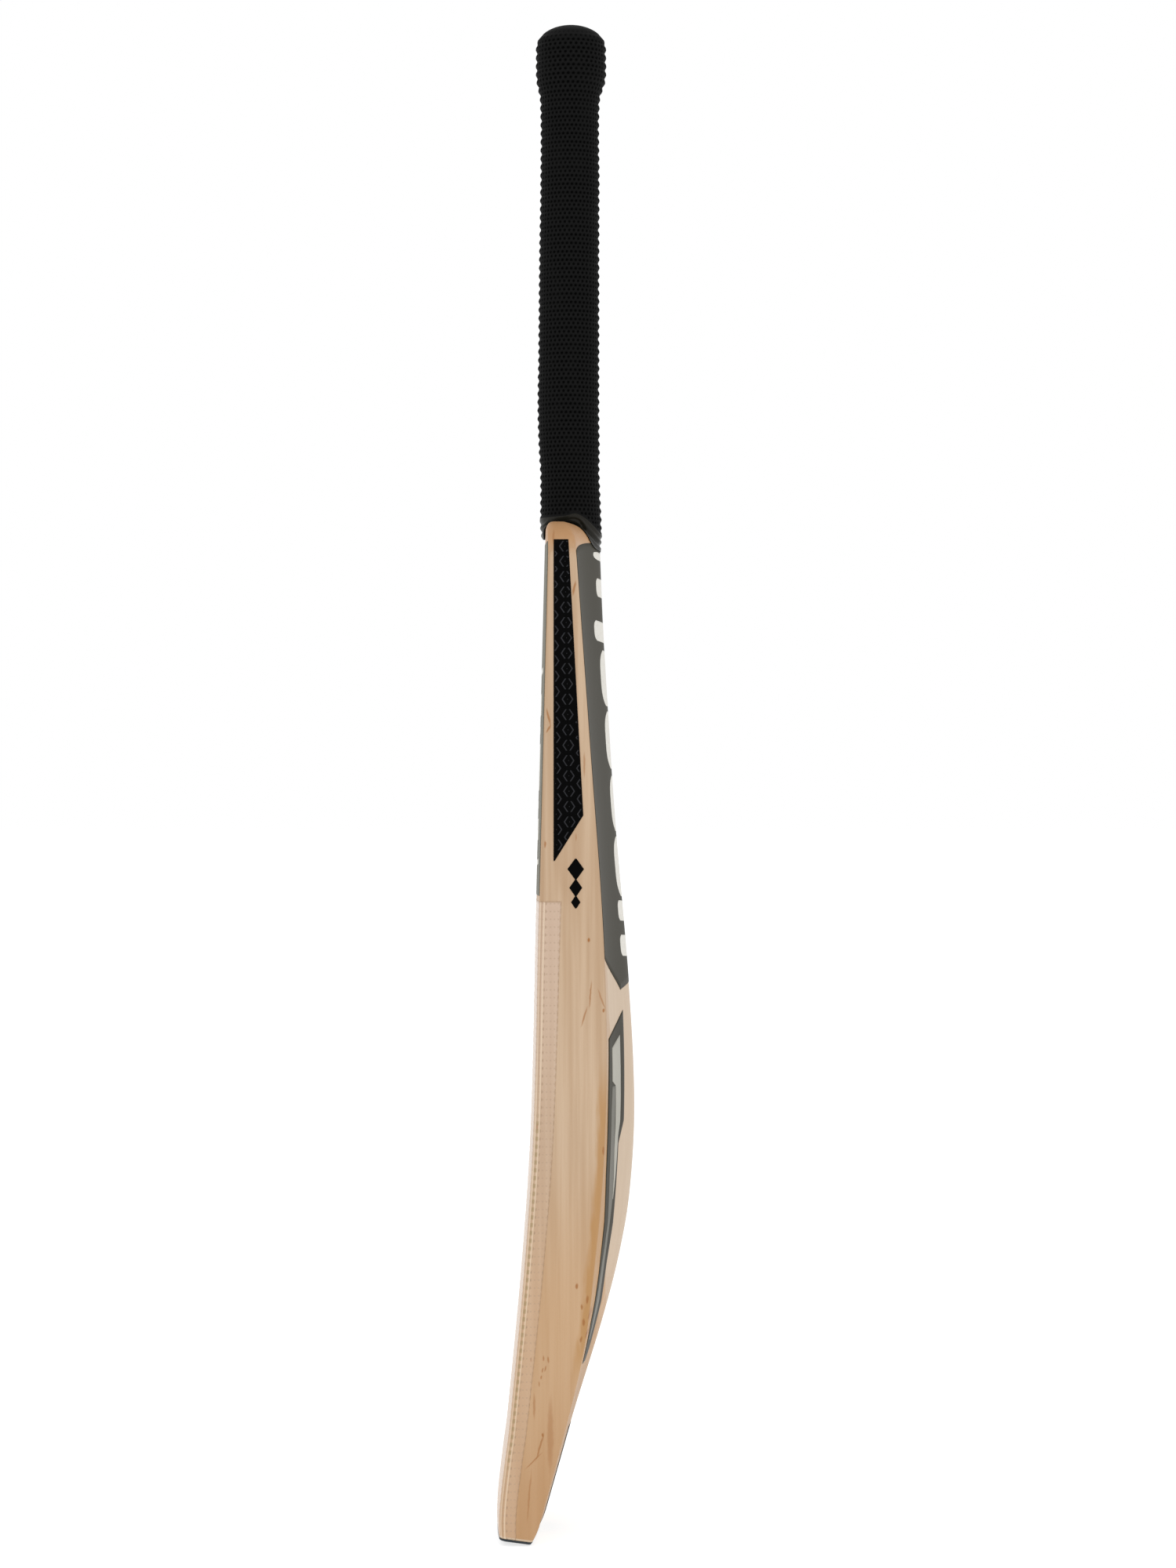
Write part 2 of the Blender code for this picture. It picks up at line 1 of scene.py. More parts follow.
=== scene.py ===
"""Looks of the cricket bat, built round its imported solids.

Frame: metres, +Z up along the handle, -Y out of the hitting face, +Y out of the spine and X
across the blade. The shape functions work in millimetres, and a mesh is scaled to metres when it
is made. Each fine piece stands for the plain solid that it replaces.
"""
import math

import bmesh
import bpy
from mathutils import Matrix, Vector


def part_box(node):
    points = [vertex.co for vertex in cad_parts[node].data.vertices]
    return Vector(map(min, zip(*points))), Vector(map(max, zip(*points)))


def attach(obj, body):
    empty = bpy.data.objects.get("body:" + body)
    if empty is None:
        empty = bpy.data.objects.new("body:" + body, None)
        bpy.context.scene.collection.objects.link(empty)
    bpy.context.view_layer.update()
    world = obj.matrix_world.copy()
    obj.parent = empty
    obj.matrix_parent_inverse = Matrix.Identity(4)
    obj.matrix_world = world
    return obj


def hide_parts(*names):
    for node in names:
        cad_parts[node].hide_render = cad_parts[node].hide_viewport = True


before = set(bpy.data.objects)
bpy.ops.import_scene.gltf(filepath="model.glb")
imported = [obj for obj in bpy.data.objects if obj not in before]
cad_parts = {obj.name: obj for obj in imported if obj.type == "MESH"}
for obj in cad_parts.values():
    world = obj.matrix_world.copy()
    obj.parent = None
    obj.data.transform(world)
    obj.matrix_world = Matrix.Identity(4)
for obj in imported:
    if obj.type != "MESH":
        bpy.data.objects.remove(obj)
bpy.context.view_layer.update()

MM = 0.001
BODY = "root"
SIDES = (("left", -1), ("right", 1))

# ---- sizes, in millimetres

TOTAL_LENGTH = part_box("grip")[1].z / MM
HALF_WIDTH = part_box("face_sheet")[1].x / MM
LAYER = 0.2                 # thickness of the labels and the fibre sheet on the wood
INK = 0.04                  # how far a printed shape stands proud of its label

# The blade's side profile: (height, y) of the middle of the face, the spine and the edges' back
FACE_STATIONS = [(0, -38.3), (12, -38.6), (24, -37.9), (48, -35.2), (65, -33.0), (155, -24.5),
                 (231, -19.6), (351, -16.7), (572, -11.2)]
SPINE_STATIONS = [(0, -14.0), (65, 4.8), (119, 21.5), (155, 30.8), (190, 36.8), (240, 39.6),
                  (307, 36.6), (405, 28.3), (458, 24.8), (512, 21.6), (572, 19.2)]
EDGE_STATIONS = [(0, -16.8), (100, 9.3), (162, 17.6), (215, 22.0), (275, 23.6), (345, 21.3),
                 (445, 14.2), (527, 8.3), (572, 5.0)]

# The blade's cross-section and ends
FACE_CROWN = 2.4            # the face's sides lie this far behind its middle
FACE_CORNER = 4.0           # radius between the face and an edge
BACK_CORNER = 2.0           # size of the corner between an edge and the back
RIDGE_HOLLOW = 1.35         # above 1, the slopes of the back are hollow
RIDGE_ROUND = 0.12          # how blunt the ridge is, as a share of the half width
# Mesh steps over half a section: its face, corner, edge, back corner and back
FACE_STEPS, CORNER_STEPS, EDGE_STEPS, BACK_CORNER_STEPS, BACK_STEPS = 24, 8, 12, 5, 36
BACK_CROWDING = 1.4         # above 1, the back's steps crowd towards the ridge
TOE_TILT = math.radians(7.5)
TOE_TILT_HEIGHT = 60.0      # the toe's slope has faded out at this height
TOE_CORNER = 4.0            # radius of the toe's corners, seen from the front
TOE_FRONT_RADIUS = 1.2
TOE_BACK_CHAMFER = 2.2
TOE_BACK_CHAMFER_HEIGHT = 12.0
GUARD_THICKNESS = 2.0
SHOULDER_START = 548.0
SHOULDER_TOP = 571.0
SHOULDER_NECK = 20.0        # half the width that is left at the shoulders' top
SHOULDER_FRONT_RADIUS = 5.0
SHOULDER_BACK_RADIUS = 16.0
SPLICE_TIP, SPLICE_HALF_TIP, SPLICE_HALF_TOP = 436.0, 1.0, 17.0
SPLICE_GAP = 0.1            # between the blade and the handle
CUTTER_REACH = 60.0         # the splice's cutter reaches this far to the front and the back
CUTTER_OVERSHOOT = 1.0      # and this far past the top of the shoulders

# The grip: (height, y of its middle, half depth, half width) of its outer form
GRIP_STATIONS = [(572, 3.25, 17.65, 17.0), (600, 2.65, 17.05, 16.7), (611, 2.35, 17.45, 16.8),
                 (635, 1.85, 17.75, 16.9), (668, 2.05, 17.55, 16.8), (722, 2.3, 17.3, 16.6),
                 (766, 2.7, 17.0, 16.5), (812, 2.7, 17.2, 16.5), (824, 3.3, 19.9, 19.4),
                 (840, 3.3, 20.1, 19.6)]
KNOB_Y = GRIP_STATIONS[-1][1]
GRIP_WALL = 1.6
GRIP_MOUTH = 5.5            # radius of the opening in its top
GRIP_DOME = 13.2            # height of the domed top, if it had no mouth
DIMPLES_AROUND = 41         # dimples round the grip, one column of them on every rib
RIB_PITCH = 4.78
RIB_RELIEF = 0.85           # depth of the valleys between the ribs
CREST_DIMPLE = (0.30, 0.26, 0.15)   # depth, and its half width as a share of each pitch
VALLEY_DIMPLE = (0.26, 0.26, 0.14)
VALLEY_SHADE, DIMPLE_SHADE = 0.12, 3.0      # how much darker a valley is, and a dimple per mm
DIMPLE_STEPS, RIB_STEPS = 6, 10     # mesh steps round one dimple's pitch and along one rib's
# The ribs end, and the smooth hem starts, at this height round the grip: (y, height)
TEXTURE_EDGE = [(-15, 574.0), (0, 574.6), (6, 575.8), (11, 573.6), (16, 569.4), (20, 565.2)]
TEXTURE_FADE = 2.5
TEXTURE_TOP, TEXTURE_FULL = 1.0, 13.0       # it fades in over these depths below the grip's top
LEVEL_FROM = 600.0          # the mesh rows are level above this height
HEM_WALL, HEM_LIP = 1.0, 0.45       # thickness of the hem, and of its lip at the back
HEM_TAPER = 0.09            # how much the hem draws in towards its lower edge
HEM_FOLDS = 2.6
HEM_FOLD_RELIEF = 0.55
HEM_ROLL = 0.6              # at the front, the rolled lower edge stands this proud
HEM_STEPS = 16
# The hem's lower edge dips over the front and the back of the shoulder: (y, height)
HEM_EDGE = [(-15, 562.4), (-12.5, 562.8), (-10.5, 566.5), (-8.5, 569.6), (-4, 570.3),
            (1.6, 570.3), (7.6, 568.4), (10, 565.4), (12.5, 559.6), (16.2, 556.4), (20.5, 555.2)]

# The fibre sheet and its threads
SHEET_TOP = 357.8
SHEET_WRAP_TOP, SHEET_WRAP_TOE = 14.7, 11.5
THREAD_PITCH, COLUMN_PITCH = 4.35, 2.2
THREAD_RELIEF = 0.12

# The labels
FRONT_LABEL_BOTTOM, FRONT_LABEL_TOP = 360.9, 558.0
SPINE_LABEL_TOP, SPINE_LABEL_ARCH = 550.0, 9.6
SPINE_LABEL_SIDE, SPINE_LABEL_POINT, SPINE_LABEL_NOTCH = 326.0, 307.0, 311.0
SPINE_LABEL_POINT_X = 20.0
SPINE_LABEL_BEND = 0.85     # below 1, its lower end rises faster near the points
EDGE_LABEL_FRONT = -6.1
EDGE_LABEL_BACK_LOW, EDGE_LABEL_BACK_TOP = 10.4, 2.1    # its back side's y, at its two ends
EDGE_LABEL_TIP, EDGE_LABEL_SLANT, EDGE_LABEL_TOP = 380.3, 405.6, 559.0
EDGE_LABEL_BLUNT = 1.0      # the slant would meet the front side this far below the tip
EDGE_LABEL_MARGIN = 0.3     # left plain along the label's sides
# The flash and the shapes printed on it. Each has its bottom, its top at the outer side, its top
# at the inner side, and how far each side lies behind the edge's back corner: (height, rise)
FLASH = (100.0, 281.0, 295.5,
         [(100, 0.7), (108, 1.0), (122, 1.5), (135, 2.4), (150, 2.9), (179, 2.9), (205, 1.7),
          (248, 1.0), (296, 1.05)],
         [(100, 2.0), (105, 3.0), (119, 4.6), (132, 6.2), (154, 6.8), (176, 8.0), (221, 7.8),
          (233.5, 10.4), (296, 9.4)])
FLASH_PANEL = (190.0, 275.5, 282.0,
               [(190, 6.5), (204, 6.1), (219, 5.5), (233, 5.6), (254, 5.1), (257, 3.2),
                (282, 2.75)],
               [(190, 6.7), (204, 7.15), (219, 7.3), (226, 7.4), (233.5, 8.2), (246, 8.1),
                (269, 7.6), (282, 7.35)])
FLASH_SHADE = (112.0, 254.0, 254.0,
               [(112, 2.0), (133, 3.2), (177, 4.8), (204, 3.6), (240, 3.0), (254, 3.2)],
               [(112, 2.4), (133, 4.8), (177, 6.0), (190, 6.4), (204, 5.9), (219, 5.3),
                (254, 5.0)])
MARK_Y, MARK_BOTTOM, MARK_NECK = 6.2, 354.0, 0.4
MARK_SIZES = [(4.6, 5.8), (3.6, 4.6), (2.6, 3.4)]
TOE_LABEL_BOTTOM, TOE_LABEL_TOP, TOE_LABEL_HALF_WIDTH = 4.0, 60.0, 16.0

# The printed blocks along the spine: (bottom, top, half width, how round its ends are)
SPINE_BLOCKS = [(325, 337, 14.8, 0.2), (345, 356.5, 14.1, 0.2), (359, 393, 12.5, 0.6),
                (396, 427.5, 10.5, 0.6), (431.5, 464, 12.5, 0.6), (467, 498.5, 14.3, 0.5),
                (503, 514.5, 21.6, 0.2), (528.5, 539, 13.6, 0.2), (549.5, 554, 16.0, 0.4)]
BLOCK_SLANT = 0.06          # rise across a block for each millimetre of its width
# The front label's own blocks, and how many mesh steps it reaches round the face's corner
FRONT_BLOCKS = [(376, 379, 38.0, 0.0), (390, 402, 30.0, 0.0), (408, 412, 22.0, 0.0),
                (418, 444, 30.0, 0.0), (450, 454, 22.0, 0.0), (460, 472, 30.0, 0.0),
                (483, 486, 38.0, 0.0)]
FRONT_LABEL_WRAP = 3

# The open rhombi embossed on the edge labels, in columns half a pitch out of step
RHOMBUS_COLUMNS = (-2, -1, 0, 1, 2)
RHOMBI_BELOW = 6            # rows of rhombi below the first, down to the label's tip
RHOMBUS_PITCH_Y, RHOMBUS_PITCH_Z = 7.4, 8.5
RHOMBUS_HALF_Y, RHOMBUS_HALF_Z = 2.9, 4.4
RHOMBUS_LINE = 0.65         # width of a stroke
RHOMBUS_REACH = 0.68        # how far a stroke runs from the side tip to the end tip
RHOMBUS_FIRST_Z = 427.5     # centre of one rhombus in the middle column
# The middle column's y at a height on it, and how much the columns lean with the label
RHOMBUS_Y, RHOMBUS_Y_HEIGHT, RHOMBUS_LEAN = 2.44, 423.0, -0.0174
RHOMBUS_DOT = 0.2           # half width of the dot in each rhombus


# ---- curves and sections

def smooth_curve(stations):
    """Return a function that runs smoothly through (position, value) stations."""
    count = len(stations)

    def slope(i):
        before, after = stations[max(i - 1, 0)], stations[min(i + 1, count - 1)]
        return (after[1] - before[1]) / (after[0] - before[0])

    slopes = [slope(i) for i in range(count)]

    def value(position):
        i = 0
        while i < count - 2 and position > stations[i + 1][0]:
            i += 1
        (p0, v0), (p1, v1) = stations[i], stations[i + 1]
        span = p1 - p0
        t = min(max((position - p0) / span, 0.0), 1.0)
        rise = v0 * (1 + 2 * t) * (1 - t) ** 2 + v1 * t * t * (3 - 2 * t)
        lean = slopes[i] * t * (1 - t) ** 2 - slopes[i + 1] * t * t * (1 - t)
        return rise + span * lean

    return value


def straight_curve(stations):
    """Return a function that runs straight between (position, value) stations."""
    def value(position):
        for (p0, v0), (p1, v1) in zip(stations, stations[1:]):
            if position <= p1:
                break
        t = min(max((position - p0) / (p1 - p0), 0.0), 1.0)
        return v0 + (v1 - v0) * t

    return value


face_y = smooth_curve(FACE_STATIONS)
spine_y = smooth_curve(SPINE_STATIONS)
edge_y = smooth_curve(EDGE_STATIONS)
texture_edge_z = smooth_curve(TEXTURE_EDGE)
hem_edge_z = smooth_curve(HEM_EDGE)
grip_middle = smooth_curve([(z, y) for z, y, _, _ in GRIP_STATIONS])
grip_depth = smooth_curve([(z, half) for z, _, half, _ in GRIP_STATIONS])
grip_width = smooth_curve([(z, half) for z, _, _, half in GRIP_STATIONS])


def spread(low, high, steps):
    """Evenly spaced values from low to high, both included."""
    return [low + (high - low) * i / steps for i in range(steps + 1)]


def blend(a, b, share):
    return a + (b - a) * share


def smooth_step(value, low, high):
    """0 below low, 1 above high, with an easy curve between."""
    t = min(max((value - low) / (high - low), 0.0), 1.0)
    return t * t * (3 - 2 * t)


def round_inset(distance, radius):
    """How far a round corner lies inside the square one, at a distance from its end."""
    if distance >= radius:
        return 0.0
    return radius - math.sqrt(max(radius ** 2 - (radius - max(distance, 0.0)) ** 2, 0.0))


def form_half_width(z):
    """Half the blade's width: rounded at the toe's corners and at the shoulders."""
    if z > SHOULDER_START:
        climb = min((z - SHOULDER_START) / (SHOULDER_TOP - SHOULDER_START), 1.0)
        return SHOULDER_NECK + (HALF_WIDTH - SHOULDER_NECK) * math.sqrt(1 - climb ** 2)
    return HALF_WIDTH - round_inset(z, TOE_CORNER)


def form_front(x, z):
    """The y of the blade's face, crowned across its width."""
    y = face_y(z) + FACE_CROWN * (x / HALF_WIDTH) ** 2 + round_inset(z, TOE_FRONT_RADIUS)
    return y + round_inset(SHOULDER_TOP - z, SHOULDER_FRONT_RADIUS)


def blunt(t):
    """A V with a rounded point: 0 at the middle, and nearly straight away from it."""
    return math.sqrt(t * t + RIDGE_ROUND ** 2) - RIDGE_ROUND


def form_back(x, z):
    """The y of the blade's back, from a blunt ridge down to the edges."""
    across = blunt(min(abs(x) / HALF_WIDTH, 1.0)) / blunt(1.0)
    y = edge_y(z) + (spine_y(z) - edge_y(z)) * (1 - across) ** RIDGE_HOLLOW
    y -= TOE_BACK_CHAMFER * max(0.0, 1 - z / TOE_BACK_CHAMFER_HEIGHT) ** 2
    return y - round_inset(SHOULDER_TOP - z, SHOULDER_BACK_RADIUS)


def back_x(rise, z):
    """The x where the back lies a given rise behind the edge's corner."""
    across = 1 - (rise / (spine_y(z) - edge_y(z))) ** (1 / RIDGE_HOLLOW)
    return HALF_WIDTH * math.sqrt((across * blunt(1.0) + RIDGE_ROUND) ** 2 - RIDGE_ROUND ** 2)


TOE_LOW_Y = form_back(0.0, 0.0)


def tilted(x, y, z):
    """A point of the blade, with the sections near the toe leaning down to the back."""
    fade = max(0.0, 1 - z / TOE_TILT_HEIGHT)
    return (x, y, z + math.tan(TOE_TILT) * (TOE_LOW_Y - y) * fade)


def face_half(z, inset):
    """Points of one half of the face and its corner, from mid face out to the edge."""
    side = form_half_width(z) - inset
    depth = form_back(side, z) - form_front(side, z)
    radius = min(FACE_CORNER, depth / 3) - inset
    xs = spread(0.0, side - radius, FACE_STEPS)[:-1]
    points = [(x, form_front(x, z) + inset) for x in xs]
    corner_y = form_front(side - radius, z) + inset + radius
    for angle in spread(-90, 0, CORNER_STEPS):
        turn = math.radians(angle)
        points.append((side - radius + radius * math.cos(turn),
                       corner_y + radius * math.sin(turn)))
    return points


def half_section(z, inset):
    """Points of the blade at one height for x >= 0, from mid face to mid spine."""
    points = face_half(z, inset)
    side, corner_y = points[-1]
    edge_end = form_back(side, z) - inset
    back_size = min(BACK_CORNER, (edge_end - corner_y) / 3)
    for y in spread(corner_y, edge_end - back_size, EDGE_STEPS)[1:-1]:
        points.append((side, y))
    shoulder_y = form_back(side - back_size, z) - inset
    for t in spread(0.0, 1.0, BACK_CORNER_STEPS):
        x = side - back_size * t ** 2
        y = (edge_end - back_size) * (1 - t) ** 2 + 2 * edge_end * t * (1 - t) + shoulder_y * t ** 2
        points.append((x, y))
    for t in spread(0.0, 1.0, BACK_STEPS)[1:]:
        x = (side - back_size) * (1 - t) ** BACK_CROWDING
        points.append((x, form_back(x, z) - inset))
    return points


def blade_ring(z, inset):
    """The blade's closed outline at one height, anticlockwise from above."""
    half = half_section(z, inset)
    loop = half + [(-x, y) for x, y in reversed(half[1:-1])]
    return [tilted(x, y, z) for x, y in loop]


def on_back(x, z, lift=0.0):
    return (x, form_back(x, z) + lift, z)


def on_face(x, z, lift=0.0):
    return (x, form_front(x, z) - lift, z)


def on_edge(side, y, z, lift=0.0):
    return (side * (form_half_width(z) + lift), y, z)


# ---- making meshes

def add_grid(builder, rows, material=0):
    """Add a sheet of quads through rows of points."""
    grid = [[builder.verts.new([c * MM for c in tilted(*point)]) for point in row] for row in rows]
    for low, high in zip(grid, grid[1:]):
        for i in range(len(low) - 1):
            corners = [low[i], low[i + 1], high[i + 1], high[i]]
            builder.faces.new(corners).material_index = material


def add_loft(builder, rings, closed=False):
    """Skin level rings, stacked upwards; a closed loft joins the last ring to the first."""
    rows = [[builder.verts.new([c * MM for c in point]) for point in ring] for ring in rings]
    pairs = list(zip(rows, rows[1:]))
    if closed:
        pairs.append((rows[-1], rows[0]))
    else:
        builder.faces.new(rows[0][::-1])
        builder.faces.new(rows[-1])
    count = len(rows[0])
    for low, high in pairs:
        for i in range(count):
            j = (i + 1) % count
            builder.faces.new([low[i], low[j], high[j], high[i]])


def outward(rows, side):
    """Rows made for the right side, turned round where the side is the left one."""
    return rows if side > 0 else [row[::-1] for row in rows]


def add_object(name, data):
    made = bpy.data.objects.new(name, data)
    bpy.context.scene.collection.objects.link(made)
    return made


def mesh_from(builder, name):
    mesh = bpy.data.meshes.new(name)
    builder.to_mesh(mesh)
    builder.free()
    return mesh


def make_piece(name, builder, materials, node, smooth_angle=35):
    """Turn a bmesh into a piece of the bat that stands for a CAD node."""
    mesh = mesh_from(builder, name)
    piece = add_object(name, mesh)
    for material in materials:
        mesh.materials.append(material)
    mesh.shade_smooth()
    mesh.set_sharp_from_angle(angle=math.radians(smooth_angle))
    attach(piece, BODY)
    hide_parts(node)
    return piece


def make_skin(name, sheets, materials):
    """A thin skin from sheets of (rows, material index), thickened inwards."""
    builder = bmesh.new()
    for rows, material in sheets:
        add_grid(builder, rows, material)
    piece = make_piece("fine_" + name, builder, materials, name)
    modifier = piece.modifiers.new("thickness", "SOLIDIFY")
    modifier.thickness = LAYER * MM
    modifier.offset = -1.0
    return piece


def store(mesh, name, values):
    """Keep one number for each vertex, for the material to read."""
    attribute = mesh.attributes.new(name, "FLOAT", "POINT")
    attribute.data.foreach_set("value", values)


# ---- writing materials

def colour(code):
    """A colour from its hexadecimal screen value, as the linear value that shaders use."""
    channels = [int(code[i:i + 2], 16) / 255 for i in (0, 2, 4)]
    linear = [c / 12.92 if c <= 0.04045 else ((c + 0.055) / 1.055) ** 2.4 for c in channels]
    return (*linear, 1.0)


class Surface:
    """A Principled material and short ways to write its nodes. Places are in millimetres."""

    def __init__(self, name, **sockets):
        self.material = bpy.data.materials.new(name)
        self.material.use_nodes = True
        self.tree = self.material.node_tree
        self.shader = self.tree.nodes["Principled BSDF"]
        for socket, value in sockets.items():
            self.shader.inputs[socket.replace("_", " ")].default_value = value
        metres = self.tree.nodes.new("ShaderNodeTexCoord").outputs["Object"]
        self.place = self.vector("SCALE", metres, Scale=1 / MM)
        self.x, self.y, self.z = self.node("ShaderNodeSeparateXYZ", Vector=self.place).outputs

    def node(self, kind, settings=None, **inputs):
        made = self.tree.nodes.new(kind)
        for key, value in (settings or {}).items():
            setattr(made, key, value)
        for key, value in inputs.items():
            self.feed(made.inputs[key], value)
        return made

    def feed(self, socket, value):
        if isinstance(value, bpy.types.NodeSocket):
            self.tree.links.new(value, socket)
        else:
            socket.default_value = value

    def vector(self, operation, a, b=None, **inputs):
        made = self.node("ShaderNodeVectorMath", {"operation": operation}, **inputs)
        self.feed(made.inputs[0], a)
        if b is not None:
            self.feed(made.inputs[1], b)
        return made.outputs[0]

    def math(self, operation, a, b=0.0):
        made = self.node("ShaderNodeMath", {"operation": operation})
        self.feed(made.inputs[0], a)
        self.feed(made.inputs[1], b)
        return made.outputs[0]

    def times(self, *values):
        result = values[0]
        for value in values[1:]:
            result = self.math("MULTIPLY", result, value)
        return result

    def fade(self, value, low, high):
        """0 where the value is at low, 1 where it is at high, smooth between."""
        made = self.node("ShaderNodeMapRange", {"interpolation_type": "SMOOTHSTEP"}, Value=value)
        self.feed(made.inputs["From Min"], low)
        self.feed(made.inputs["From Max"], high)
        return made.outputs[0]

    def band(self, value, low, high, soft):
        """1 between low and high, fading out over soft on both sides."""
        return self.times(self.fade(value, low - soft, low), self.fade(value, high + soft, high))

    def noise(self, stretch, detail=2.0, roughness=0.5, offset=0.0):
        """Noise between 0 and 1, with its number of waves per millimetre along X, Y and Z."""
        vector = self.vector("MULTIPLY", self.place, stretch)
        if offset:
            vector = self.vector("ADD", vector, (offset, offset, offset))
        made = self.node("ShaderNodeTexNoise", Vector=vector, Scale=1.0, Detail=detail,
                         Roughness=roughness)
        return made.outputs["Fac"]

    def mix(self, share, a, b):
        made = self.node("ShaderNodeMix", {"data_type": "RGBA"})
        self.feed(made.inputs[0], share)
        self.feed(made.inputs[6], a)
        self.feed(made.inputs[7], b)
        return made.outputs[2]

    def tint(self, base, code, *shares):
        """Mix in a colour, as strongly as the product of the shares."""
        return self.mix(self.times(*shares), base, colour(code))

    def attribute(self, name):
        return self.node("ShaderNodeAttribute", {"attribute_name": name}).outputs["Fac"]

    def finish(self, base, height=None, bump=0.1, roughness=None):
        """Join the colour, a height in units of bump millimetres, and the roughness."""
        self.feed(self.shader.inputs["Base Color"], base)
        if roughness is not None:
            self.feed(self.shader.inputs["Roughness"], roughness)
        if height is not None:
            made = self.node("ShaderNodeBump", Height=height, Distance=bump * MM, Strength=1.0)
            self.feed(self.shader.inputs["Normal"], made.outputs[0])
        return self.material


# ---- wood

RING_PITCH = 9.5            # between growth lines, across the face

# Marks in the near edge's wood: (y, z, half width, half length, lean, strength)
KNOTS = [(13.5, 336.5, 0.8, 1.3, 0.0, 1.0), (14.3, 306.0, 0.5, 7.5, 0.10, 0.7),
         (10.9, 294.0, 0.6, 5.5, 0.32, 0.7), (20.6, 303.5, 0.5, 6.0, -0.35, 0.6),
         (21.5, 297.4, 0.7, 1.2, 0.0, 0.9), (5.4, 531.5, 0.7, 4.2, 0.15, 0.8),
         (-8.9, 460.2, 0.7, 4.8, -0.23, 0.8), (-8.9, 453.6, 0.6, 2.3, 0.54, 0.8),
         (11.0, 433.5, 0.6, 7.0, 0.0, 0.6), (-10.9, 389.5, 0.7, 2.0, 0.0, 0.8),
         (6.2, 393.5, 0.5, 2.2, 0.0, 0.5), (-15.0, 233.0, 0.8, 2.0, 0.0, 0.8),
         (21.6, 219.5, 0.6, 2.6, 0.0, 0.8), (6.8, 144.5, 0.9, 1.7, 0.0, 0.9),
         (12.6, 137.0, 0.8, 2.4, 0.1, 0.9), (9.6, 133.0, 0.7, 1.6, 0.0, 0.8),
         (14.2, 129.0, 0.9, 3.6, 0.2, 0.9), (10.6, 124.5, 0.8, 2.2, 0.0, 0.9),
         (12.4, 118.0, 0.8, 2.6, 0.3, 0.9), (9.2, 115.0, 0.7, 1.8, 0.2, 0.8),
         (-12.2, 62.0, 0.6, 1.2, 0.0, 0.9), (-13.6, 55.5, 0.6, 8.0, 0.28, 0.7),
         (-17.2, 47.6, 0.6, 4.6, 1.0, 0.7), (-19.6, 28.0, 0.6, 14.0, 0.08, 0.5),
         (-7.9, 62.0, 1.8, 20.0, 0.0, 0.45), (-6.1, 560.5, 0.7, 4.5, 0.0, 0.5),
         (-11.7, 104.6, 0.5, 1.6, 0.0, 0.7), (-9.1, 103.8, 0.6, 1.9, 0.0, 0.7),
         (-12.2, 97.9, 0.5, 1.5, 0.2, 0.7), (-10.6, 98.8, 0.5, 1.7, 0.2, 0.7),
         (-12.9, 94.0, 0.5, 1.2, 0.0, 0.7), (-14.2, 90.3, 0.5, 1.6, 0.0, 0.6),
         (-16.8, 78.0, 0.7, 7.0, 0.0, 0.5), (-18.4, 103.8, 0.5, 1.4, 0.0, 0.6)]


def add_knot(wood, wobble, base, knot):
    """Darken one small mark, longer along the grain than across it."""
    y, z, half_width, half_length, lean, strength = knot
    along = wood.math("SUBTRACT", wood.z, z)
    across = wood.math("SUBTRACT", wood.math("SUBTRACT", wood.y, y), wood.times(along, lean))
    across = wood.math("ADD", across, wobble)
    distance = wood.math("ADD", wood.math("POWER", wood.math("DIVIDE", across, half_width), 2.0),
                         wood.math("POWER", wood.math("DIVIDE", along, half_length), 2.0))
    mask = wood.times(wood.fade(distance, 1.5, 0.1), wood.fade(wood.x, 4.0, 12.0), strength)
    return wood.tint(base, "96622f", mask)


def add_stains_and_painted_light(wood, base):
    """Where the wood is darker; also painted sheen that makes the back's slopes paler, and a painted
    highlight along the toe's edge above the guard.
    """
    corner = wood.attribute("from_back_corner")
    base = wood.tint(base, "b98d5c", wood.fade(wood.z, 230.0, 120.0), 0.45)
    ragged = wood.math("SUBTRACT", wood.noise((0.0, 0.3, 0.05), detail=3, offset=21), 0.5)
    ragged = wood.math("ADD", corner, wood.times(ragged, 6.0))
    heart = wood.band(ragged, -2.6, 4.5, 3.5)
    base = wood.tint(base, "a87b43", heart, wood.band(wood.z, 118.0, 236.0, 40.0), 0.75)
    toe = wood.fade(wood.z, 120.0, 20.0)
    base = wood.tint(base, "a67a4c", toe, wood.fade(corner, -30.0, -6.0), 0.5)
    # Painted sheen: a little behind the edge's corner, the back's slopes are drawn paler above about
    # 90 mm
    start = wood.math("ADD", wood.times(wood.fade(wood.z, 300.0, 265.0), 2.6),
                      wood.times(wood.fade(wood.z, 190.0, 60.0), 12.0))
    behind = wood.math("SUBTRACT", corner, start)
    slope = wood.fade(behind, 0.4, 1.6)
    base = wood.tint(base, "bfab94", slope, wood.fade(wood.z, 90.0, 170.0), 0.8)
    toe_slope = wood.fade(corner, -0.6, 0.8)
    base = wood.tint(base, "97703f", wood.fade(wood.z, 135.0, 80.0), toe_slope, 0.5)
    # Painted highlight: a pale line along the toe's edge, just above the guard
    foot = wood.math("SUBTRACT", wood.y, TOE_LOW_Y)
    foot = wood.math("ADD", wood.z, wood.times(foot, math.tan(TOE_TILT)))
    base = wood.tint(base, "cdbfa8", wood.fade(foot, 3.5, 2.8), 0.6)
    return wood.tint(base, "b08356", wood.fade(wood.z, 548.0, 562.0), 0.9)


